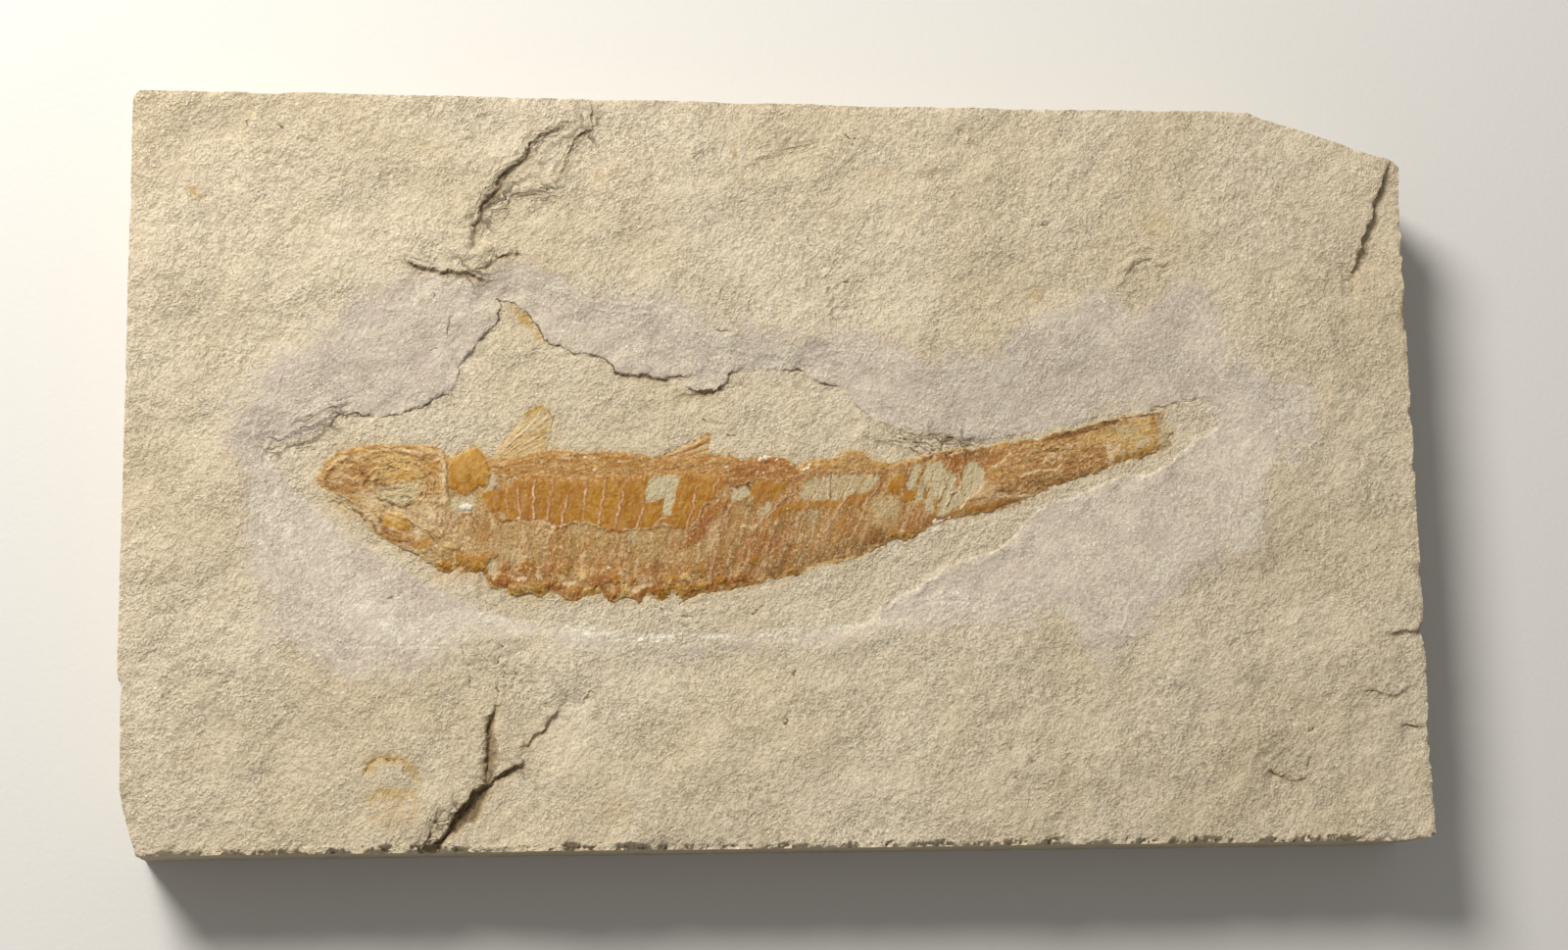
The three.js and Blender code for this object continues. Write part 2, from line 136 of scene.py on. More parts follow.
# The fish's outline from its snout to its tail
BACK = [
    (-48.2, -1.2), (-47.3, 0.6), (-46, 1.6), (-44, 2.3), (-42, 2.7), (-40, 2.6), (-38, 2.4),
    (-36.3, 2.3), (-35.3, 2), (-34.9, 1.1), (-33.6, 1.6), (-32.8, 2.1), (-31.9, 2.1),
    (-31.2, 1.3), (-30, 0.9),
    (-27, 1.5), (-24.5, 2), (-22.5, 1.9), (-21.5, 1.6), (-19, 1.9), (-16, 1.8), (-14, 1.3),
    (-10, 1.5), (-7, 1.7), (-5.5, 1.3), (-4.5, 1), (-2, 1.6), (0, 1.1), (1, 0.4), (2.6, 1),
    (5, 1.2), (6, 2), (7.5, 2.1), (8.5, 1.7), (9.2, 1), (11, 0.9), (13, 1.2), (15.5, 1.9),
    (17, 2.2), (20, 2.3), (22, 2.8), (24, 3.1), (27, 3.6), (29, 4.3), (31, 4.6), (33, 5.2),
    (35.5, 5.9), (38, 6.2), (40.5, 6.6), (41.2, 6.8),
]
BELLY = [
    (-48.2, -1.2), (-47.9, -1.9), (-46.8, -3.1), (-45.5, -3.9), (-44, -4.9), (-42.6, -6.3),
    (-41.8, -7.2), (-40.5, -8), (-38.8, -8.6), (-37.2, -9.6), (-36, -10.5), (-35, -10.9),
    (-34.3, -10.7), (-33.4, -11.1), (-31.4, -11.1), (-30.7, -12.3), (-29.2, -12.5),
    (-28.6, -13.2), (-27.6, -13.3), (-26.9, -12.9), (-25.5, -13.3), (-24, -12.8), (-23.3, -13.5),
    (-22, -13.8), (-20.6, -13.1), (-19.4, -13.2), (-18.3, -14), (-17.4, -13.3), (-16.3, -13.4),
    (-15.6, -14), (-14.9, -13), (-13.8, -13.8), (-12.6, -13.5), (-12.2, -12.8), (-11, -13.7),
    (-10, -13.3), (-9.4, -12.9), (-7, -12.7), (-3, -12.1), (-1, -11.4),
    (1.3, -10.9), (3, -10.2), (7, -9.3), (9.5, -8.1), (10.5, -7.5), (13, -7.2), (14.5, -6.2),
    (16, -5.5), (18, -4.9), (22, -4.2), (26, -2.9), (27.5, -2.1), (31, -0.7), (33, -0.1),
    (35, 0.8), (37, 1.3), (39, 1.9), (41.2, 2.6),
]
TAIL_END = [(40.6, 3.6), (41.1, 4.3), (39.8, 4.9), (40.4, 6.5)]
FISH_OUTLINE = [*BELLY, *TAIL_END, *BACK[-2:0:-1]]
SKULL_END = -35.1
GILL_COVER_END = -30.6
TAIL_START = 20.0
FISH_MARGIN = 0.35  # how far each piece runs on under the stone round it
FISH_SUNK = 0.35  # how far its underside lies below the bed
FISH_PITCH = 0.1  # between its points
FISH_FILM = 0.13  # its thickness, before the patches and strokes
FIN_FILM = 0.05
SEAM_SHADOW_SHIFT = 0.17  # from each scale seam to the umber line beside it, which is painted as its shadow
ROW_PITCH = 1.9  # between the rows of scales

FRONT_FIN = [
    (-30.8, 0.7), (-30.4, 1.6), (-28.7, 3.9), (-27, 6.1), (-25.9, 6.8), (-25.2, 6.9),
    (-24.6, 6.1), (-24, 5.4), (-24.3, 4.7), (-24.6, 3), (-24.7, 2.1), (-25, 1.4), (-28, 0.8),
]
FRONT_FIN_HUB = (-31.6, -0.3)
BACK_FIN = [
    (-14.2, 0.9), (-14, 1.3), (-12.7, 1.9), (-11.7, 2.2), (-10.2, 2.9), (-8.5, 3.9), (-7.9, 4.1),
    (-8, 2.9), (-8.1, 1.8), (-7.4, 1.2), (-10, 0.9),
]
BACK_FIN_HUB = (-17.5, -1.2)
FIN_RAY_DEG = 4  # between the rays of a fin

# How far the scale rows lean, as X gained per Y, by x
SCALE_LEAN = [(-33, 0), (-27, 0.06), (-18, 0.23), (-10, 0.27), (-6, 0.42), (20, 0.5)]
# The height at which the flank's tall scales meet the fibrous band along the back, by x
BAND_FOOT = [
    (-30.5, -1.2), (-27.4, -0.9), (-24.4, -0.9), (-21.4, -1.3), (-18.6, -0.9), (-14.5, -0.9),
    (-12.4, -0.3), (-9.5, -0.4), (-7, -0.6), (-4.7, -1.7), (-2.7, -1), (0, -1.9), (1.6, -0.7),
    (3, -0.4), (9.4, -0.3), (11, 0.1), (14, 1.3), (20, 2.6),
]
# The lower ends of the tall scales, and then the outline of their whole row
SCALE_FOOT = [
    (-29.5, -5.8), (-28.4, -5.6), (-26.9, -5.5), (-25.9, -5.4), (-24.7, -5.6), (-24, -6.1),
    (-23.4, -6.2), (-22.7, -5.9), (-21.9, -5.7), (-20.9, -5.8), (-19.6, -6.2), (-18.9, -6.4),
    (-17.6, -6.6), (-15.2, -6.3), (-14.4, -6.4), (-13.4, -6), (-12.3, -6), (-11, -6.3),
    (-10.5, -6.6),
]
TALL_SCALES = [
    *SCALE_FOOT, (-9.6, -5.5), (-9.1, -4.3), (-8.4, -3.6), (-6.4, -2.2), (-6.6, -0.6),
    (-9.5, -0.4), (-12.4, -0.3), (-14.5, -0.8), (-18.6, -0.8), (-21.4, -1.3), (-24.4, -0.8),
    (-27.4, -0.8), (-28.7, -1.9), (-31.6, -2.6), (-31, -4), (-30.2, -5),
]
SCALE_SEAMS = [  # the seams between scale rows: how plain each is, and its line
    (0.3, [(-30, -2.7), (-30.3, -3.7), (-30.1, -4.8)]),
    (0.4, [(-29, -2.1), (-29.1, -3.5), (-28.9, -4.9)]),
    (0.7, [(-27.9, -2), (-27.9, -3.4), (-27.7, -4.2), (-27.8, -5.5)]),
    (1, [(-26.2, -1.1), (-26.3, -2.2), (-26.3, -3.5), (-26.3, -5.3)]),
    (0.5, [(-24.3, -0.9), (-24.4, -2.2), (-24.8, -3.8)]), (0.9, [(-24.7, -3.2), (-24.9, -5.4)]),
    (0.8, [(-22.9, -2.8), (-23.2, -4.2), (-23.5, -5.9)]),
    (0.8, [(-20.9, -1.8), (-21.1, -3.1), (-21.2, -4.3)]), (0.3, [(-21.2, -4.2), (-21.1, -5.6)]),
    (0.7, [(-18.9, -1.2), (-19.2, -2.5), (-19.4, -3.8), (-19.6, -5), (-19.7, -6)]),
    (0.3, [(-16.9, -1.1), (-17.2, -2.6)]),
    (1, [(-17.1, -2.5), (-17.5, -4), (-17.8, -4.9), (-18.1, -6.3)]),
    (0.9, [(-15, -3.6), (-15.3, -4.8), (-15.9, -6.1)]), (0.6, [(-15, -3.6), (-13.1, -3.2)]),
    (0.8, [(-12.7, -5.2), (-13.4, -5.3), (-13.8, -5.7), (-14.1, -6.2)]),
    (0.4, [(-9.4, -1.6), (-9.8, -2.8)]),
    (0.8, [(-9.8, -2.8), (-10, -4.2), (-10.4, -5.3), (-10.6, -6.4)]),
    (0.9, [(-7.2, -1.1), (-7.7, -1.9), (-8, -2.6)]),
    (0.9, [(-8.5, -3.6), (-9.2, -4.5), (-9.7, -5.5), (-10.3, -6.3)]),
    (0.9, [(0.8, -2.3), (0.3, -2.6), (-0.7, -3.1), (-1.5, -4.1), (-2.4, -5.2)]),
    (0.8, [(9.5, -1.5), (8.9, -2.5), (8.2, -3.1), (7.8, -3.8)]),
    (0.6, [(-2, -7.1), (-2.3, -8.3), (-2.4, -9.5)]), (0.5, [(-4.1, -8.3), (-4.5, -9.9)]),
    (0.5, [(-6, -10.1), (-6.3, -11.4)]), (0.5, [(4.3, -4.8), (4.1, -6), (3.8, -7.6)]),
    (0.3, [(1.8, -4.8), (1.4, -7), (0.8, -8.6)]), (0.25, [(-0.2, -5), (-0.5, -6.8), (-1, -8.3)]),
    (0.25, [(6.5, -4.4), (6.1, -6), (5.6, -7.6)]), (0.3, [(-8, -9.4), (-8.2, -11)]),
    (0.6, [(-6.3, -2.8), (-6.8, -4), (-7.3, -4.9), (-8.2, -5.6), (-8.6, -6.4)]),
]

# A patch covers its outline with a share of a colour, thickens the coat by that share of `rise`
# and fades over `soft` millimetres to either side of its edge
Patch = namedtuple("Patch", "colour share rise soft outline")
HEAD_PATCHES = [
    # crushed cheek and throat
    Patch("film", 0.85, 0, 0.3, [
        (-43.9, -2.6), (-42.3, -1.9), (-41.5, -3.4), (-40, -4.2), (-38.2, -3.5), (-36.4, -2.6),
        (-35.1, -2.8), (-34.8, -9), (-36, -10.5), (-38, -8.8), (-38.8, -6.6), (-41.5, -4.9),
        (-43.2, -5.2), (-44.6, -4)]),
    Patch("ridge", 0.42, 0, 0.8, [
        (-44.5, -2.8), (-42.5, -2.6), (-40, -4.6), (-37, -3.6), (-35.3, -4), (-35.2, -6.5),
        (-37, -6), (-39.5, -4.8), (-42, -4.8)]),
    Patch("rust", 0.35, 0, 0.6, [
        (-47, -0.6), (-45.4, 0.4), (-43.7, 0.3), (-42.9, -0.8), (-43.7, -1.9), (-45.3, -2.5),
        (-46.7, -2)]),
    Patch("ridge", 0.3, 0, 0.4, [
        (-46.7, -0.7), (-45.7, -0.2), (-44.9, -0.9), (-45.6, -1.8), (-46.6, -1.8)]),
    # the eye socket, filled with pale stone
    Patch("straw", 0.55, -0.03, 0.7, [
        (-42, 0.4), (-40.9, 1.1), (-39.4, 1), (-37.8, 0), (-37.3, -1.2), (-39, -1.5),
        (-41, -1.3), (-42.4, -0.9)]),
    Patch("pale", 0.8, -0.05, 0.4, [
        (-42.3, -1.9), (-41.2, -2), (-39.6, -1.7), (-38.2, -1.5), (-37.6, -1.8), (-38.2, -2.9),
        (-39, -3.7), (-39.8, -4), (-40.8, -3.7), (-41.8, -3)]),
    Patch("amber", 0.5, 0, 0.35, [
        (-40.5, -0.9), (-39, -0.5), (-37.9, -0.9), (-38.6, -1.5), (-40.3, -1.6)]),
    Patch("amber", 0.55, 0, 0.3, [
        (-37.2, 0.5), (-36.2, 0.5), (-36, -0.5), (-36.3, -1.2), (-37, -0.7)]),
    # lumps of amber scale along the jaw
    Patch("amber", 0.95, 0.1, 0.25, [
        (-41.5, -5.2), (-41, -4.8), (-40, -4.9), (-39.2, -5.4), (-38.6, -6.1), (-39, -6.6),
        (-40, -6.9), (-41, -6.5), (-41.5, -5.9)]),
    Patch("straw", 0.5, 0, 0.7, [(-41.3, -5.2), (-40, -4.9), (-39.6, -5.8), (-40.6, -6.6)]),
    Patch("amber", 0.6, 0.06, 0.3, [
        (-41.5, -7), (-40, -7.1), (-39, -7), (-38.4, -7.4), (-38.6, -7.9), (-40.3, -7.9)]),
    Patch("rust", 0.4, 0, 0.3, [(-41.2, -7.2), (-38.6, -7.3), (-38.7, -8), (-40.4, -7.9)]),
    Patch("amber", 0.75, 0.07, 0.3, [
        (-38.4, -7.2), (-37.6, -7.4), (-36.9, -7), (-36.3, -7.4), (-36.4, -8.2), (-37.6, -8.7),
        (-38.6, -8.2)]),
    Patch("ridge", 0.9, 0, 0.15, [(-38.6, -6.6), (-37.9, -6.4), (-37.8, -7.2), (-38.3, -7.4)]),
    Patch("ridge", 0.5, 0, 0.4, [(-38.6, -8.4), (-37.2, -8.6), (-37, -9.4), (-38, -9.4)]),
    # stained stone below the jaw
    Patch("pale", 0.85, -0.04, 0.3, [
        (-47.6, -2.3), (-46.6, -2.7), (-45.4, -3.3), (-44.6, -4.2), (-44, -5), (-44.6, -5.6),
        (-47, -4)]),
    Patch("straw", 0.6, -0.02, 0.3, [(-38.6, -8.6), (-37.6, -8.9), (-36.9, -9.6), (-37.4, -10)]),
]
GILL_PATCHES = [
    Patch("amber", 1, 0.12, 0.12, [
        (-34.9, 0.5), (-34.2, 1.2), (-33.5, 1.5), (-32.8, 2.1), (-31.9, 2.1), (-31.2, 1.1),
        (-30.8, 0), (-30.8, -0.9), (-31.2, -1.7), (-32.2, -2.2), (-33.1, -2.8),
        (-34, -2.8), (-34.5, -2.3), (-34.9, -1.9)]),
    Patch("straw", 0.22, 0, 0.8, [(-34.8, 0.8), (-32.3, 2.1), (-30.8, 0), (-31, -1), (-34.8, -0.8)]),
    Patch("rust", 0.2, 0, 0.6, [(-34.5, -1), (-32, -1.1), (-31.6, -1.8), (-33.3, -2.6), (-34.3, -2)]),
    Patch("pale", 0.85, -0.04, 0.2, [
        (-34.7, -3), (-33.4, -3), (-32.4, -2.6), (-32.2, -3.3), (-32.5, -4.4), (-34.3, -4.8),
        (-34.8, -4)]),
    Patch("pale", 0.8, -0.04, 0.2, [(-30.7, -0.5), (-29.9, -0.9), (-30.1, -2), (-31.2, -2.5)]),
    Patch("bone", 0.25, 0.02, 0.3, [(-33, -5.5), (-30.4, -5.2), (-30, -9), (-33.4, -9)]),
    # knobs of the throat
    Patch("amber", 0.6, 0.05, 0.3, [
        (-36.2, -9.9), (-35.3, -9.7), (-34.8, -10.2), (-35.2, -10.8), (-36, -10.6)]),
    Patch("amber", 0.5, 0.06, 0.35, [
        (-33, -8.9), (-31.8, -8.8), (-30.9, -9.6), (-31, -10.5), (-32.2, -10.9), (-33, -10.2)]),
    Patch("amber", 0.5, 0, 0.4, [(-34, -9), (-33, -8.7), (-32.8, -10), (-33.8, -10.2)]),
    Patch("pale", 0.8, -0.04, 0.25, [(-30.9, -9.6), (-30.2, -9.9), (-29.8, -10.6), (-30.9, -11)]),
]
BODY_PATCHES = [
    Patch("amber", 0.97, 0.08, 0.12, TALL_SCALES),
    Patch("pale", 0.95, -0.05, 0.08, [
        (-14.3, -1), (-13.4, -0.7), (-11.2, -0.6), (-11.5, -1.9), (-11.8, -3), (-12.1, -4.2),
        (-12.4, -5), (-13.1, -4.9), (-13, -3.6), (-13.1, -3.2), (-14.1, -3.5), (-14.9, -3.6),
        (-14.8, -2.4)]),
    Patch("pale", 0.6, -0.07, 0.15, [(-30, -4.4), (-29.3, -4.7), (-29.2, -5.3), (-29.8, -5.2)]),
    # a scale pushed out of its row, with pale stone beside it
    Patch("ridge", 0.4, -0.03, 0.3, [
        (-7.2, -5), (-7.9, -5.5), (-8.5, -6.5), (-8.8, -7.6), (-8.7, -8.6), (-8.1, -8.5),
        (-7.5, -7.3)]),
    Patch("rust", 0.8, 0.05, 0.08, [
        (-10.9, -7.9), (-9.9, -8), (-8.8, -7), (-8.3, -5.7), (-7.3, -4.9), (-6.4, -3.4),
        (-7.1, -3.2), (-8.1, -3.9), (-9.2, -5), (-9.7, -6), (-10.7, -7)]),
    Patch("amber", 0.75, 0, 0.25, [(-7.9, -4.9), (-7.2, -4.7), (-6.2, -3.3), (-6.9, -3.1)]),
    Patch("ridge", 0.6, 0, 0.2, [(-7.3, -2.9), (-6.2, -2.2), (-6.6, -1.9), (-7.6, -2.6)]),
    # pinkish crumbs, browner scales and the dark lower margin of the rear flank
    Patch("film", 0.5, 0, 0.6, [
        (-7.2, -5.2), (-6, -3.6), (-4.2, -4), (-3.8, -6), (-5, -8.2), (-7.6, -8.8)]),
    Patch("rust", 0.3, 0, 0.8, [(-4, -7), (-1.5, -6.5), (-1, -9), (-3.5, -9.5), (-6, -9.5)]),
    Patch("film", 0.3, 0, 0.8, [(-0.6, -4.6), (3.6, -4.4), (3.2, -7.2), (-0.6, -7.6)]),
    Patch("bone", 0.6, 0, 0.8, [(4.2, -4.5), (7.5, -4.2), (8, -6.5), (5, -7.4), (4, -6.5)]),
    Patch("umber", 0.4, 0, 0.6, [
        (0.8, -8.4), (3, -8.4), (5.5, -7.8), (9, -6.9), (10, -7.3), (8, -8.2), (5, -8.9),
        (3, -9.8), (1, -10.3), (-3, -10.8), (-3, -10), (0, -9.6)]),
    # red-brown crushed scales under the back
    Patch("rust", 0.6, 0.06, 0.15, [
        (-6.7, 0.1), (-4.5, 1), (-2.7, 1.5), (-0.7, 1.3), (0.8, 0.2), (1.6, -0.7), (1, -1.4),
        (-0.1, -1.9), (-1.6, -1.3), (-2.7, -0.9), (-4.7, -1.7), (-6, -1.8), (-6.6, -1.2)]),
    Patch("amber", 0.95, 0.06, 0.12, [
        (-3.7, -1.6), (-2.7, -1.1), (-1.8, -1.3), (-0.1, -1.7), (-0.4, -2.3), (-1.6, -3.2),
        (-3.6, -3.6), (-3.9, -2.3)]),
    Patch("pale", 0.85, -0.04, 0.12, [
        (-5.7, -2), (-4.1, -1.9), (-4, -2.6), (-4.7, -3.2), (-5.9, -3.2), (-6, -2.5)]),
    Patch("pale", 0.7, -0.03, 0.15, [
        (-3, -4), (-1.9, -3.3), (-1.6, -3.7), (-2.6, -5), (-3.3, -4.9)]),
    # stone showing where tall scales are gone, with their seams left in it
    Patch("pale", 0.7, -0.03, 0.25, [
        (1, -2.7), (1.7, -1.7), (3, -0.8), (6.2, -0.5), (7.9, -0.4), (9.4, -0.6), (9.4, -1.5),
        (8.3, -2.3), (6.4, -2.7), (4.7, -3.3), (1.3, -3.3)]),
    Patch("amber", 0.8, 0.03, 0.2, [
        (-1.8, -4.5), (-0.5, -3.7), (1, -3.4), (4.9, -3.3), (8.3, -2.4), (9.2, -1.7), (7.7, -3.6),
        (5, -4), (1, -4.2), (-1.6, -5.3)]),
    Patch("amber", 0.95, 0.07, 0.12, [
        (10.3, -2.3), (10.7, -1), (11.6, -0.4), (12.3, -0.6), (12.1, -1.9), (11.5, -2.4),
        (10.6, -2.5)]),
    Patch("film", 0.95, 0.03, 0.25, [
        (8.1, -3.2), (9.5, -2.7), (11.8, -2.7), (11.7, -4.9), (11.2, -6.3), (8.2, -6)]),
    Patch("pale", 0.35, 0, 0.4, [(8.6, -3.2), (9.6, -2.9), (11.6, -3), (11.4, -5), (9, -5.4)]),
    Patch("pale", 0.4, 0, 0.3, [(2.2, -4.2), (3, -4.3), (2.9, -5.6), (2, -5.5)]),
    Patch("rust", 0.35, 0, 0.5, [
        (11.8, -3.8), (13.9, -3.9), (15.7, -4.9), (14.6, -6), (12.3, -6.4), (10.8, -6.7)]),
    Patch("pale", 0.85, -0.03, 0.14, [
        (13.3, 0.5), (14.2, 0.6), (15.9, 0.9), (16.7, -0.1), (17.6, -0.5), (17.8, -2.2),
        (18.8, -2.9), (17.9, -3.7), (16.5, -4.8), (15.7, -5.1), (14.8, -4.5), (14.2, -3.6),
        (13.2, -3.3), (13, -2.2), (12.2, -2), (12.6, -1.3)]),
    Patch("amber", 0.9, 0.05, 0.12, [
        (11.8, -3.3), (12, -2.5), (12.6, -2), (13.3, -2.3), (13.3, -3.1), (12.4, -3.4)]),
    Patch("rust", 0.7, 0.05, 0.15, [
        (16.3, 1.5), (17.5, 1.7), (19.3, 1.5), (18.8, 0.6), (18.3, -0.5), (17.1, 0.1)]),
    Patch("pale", 0.85, -0.03, 0.14, [
        (18.9, 0.7), (19.7, 1), (20.4, 0.3), (20.8, -0.3), (20.4, -1.6), (19.7, -2.5), (18.8, -2.9),
        (17.8, -2.1), (17.8, -1.3), (18.3, -0.6)]),
    Patch("umber", 0.5, 0.03, 0.3, [
        (14.7, 1.7), (16, 2.1), (18, 2.5), (20.2, 2.6), (20, 1.7), (18.5, 1.6), (16, 1.5)]),
    Patch("film", 0.7, 0.04, 0.3, [
        (5.2, 1.2), (6.3, 1.9), (8, 1.9), (8.7, 1.1), (9.4, 0.6), (6.5, 0.1), (5.2, 0.5)]),
    Patch("amber", 0.7, 0.03, 0.2, [
        (18.4, -3.8), (20.3, -3.7), (23.4, -3), (24.9, -2.7), (21.5, -4.1), (18.4, -4.8)]),
]
TAIL_PATCHES = [
    Patch("straw", 0.6, 0, 0.6, [
        (30.4, 2.8), (32.9, 4.3), (36.2, 5.4), (38.8, 5.9), (39.2, 3.9), (38.7, 2.4), (36.1, 2),
        (34.5, 2.6), (32.7, 3)]),
    Patch("film", 0.5, 0, 0.4, [(35, 5), (37.5, 5.8), (37.8, 4.6), (36.2, 3.4), (34.6, 3.6)]),
    Patch("ridge", 0.7, -0.04, 0.25, [
        (33.7, 2.9), (34.4, 3.1), (35.6, 2.2), (34.9, 1.9), (34.6, 1), (34, 0.3), (33.8, 1.8)]),
    Patch("pale", 0.7, -0.03, 0.3, [
        (39.5, 6), (39.6, 4.1), (39.4, 2.2), (41.5, 2.4), (41.5, 7)]),
    Patch("ridge", 0.6, -0.02, 0.2, [(29.3, 2.2), (30.3, 2.4), (30.2, 2.9), (29.4, 2.8)]),
    Patch("ridge", 0.6, -0.02, 0.25, [(26.9, 0.9), (29, 1.3), (29, 1.7), (27.2, 1.4)]),
    Patch("pale", 0.6, 0, 0.3, [(37, 2.6), (38.6, 2.9), (38.6, 3.8), (37.2, 3.5)]),
    Patch("pale", 0.5, -0.02, 0.4, [(35.2, 4.6), (36.6, 5), (36.4, 4), (35.4, 3.5)]),
    Patch("umber", 0.35, 0, 0.5, [(32.5, 4.2), (35.4, 5), (34.8, 4.2), (33, 3.6)]),
    Patch("amber", 0.75, 0, 0.2, [
        (34.6, 1.9), (35.2, 1.6), (36.4, 1.9), (38.6, 2.4), (38.4, 1.8), (36.5, 1.2), (34.9, 1)]),
    Patch("umber", 0.3, 0, 0.5, [
        (20.8, -2.6), (23.5, -1.6), (28.8, 0), (29.8, -0.8), (27, -2.2), (24.5, -3.2), (21.5, -4)]),
    Patch("amber", 0.5, 0.02, 0.3, [(21.6, -0.2), (22.4, 0.2), (23, -0.6), (22, -1.1)]),
    Patch("rust", 0.5, 0.02, 0.3, [(20.3, 1.6), (22.3, 1.8), (22.5, 0.9), (21.6, 0.4), (20.6, 0.8)]),
    Patch("ridge", 0.35, 0, 0.6, [(18.5, -2.6), (20.8, -0.8), (22.4, -2.6), (20.6, -3.4)]),
]
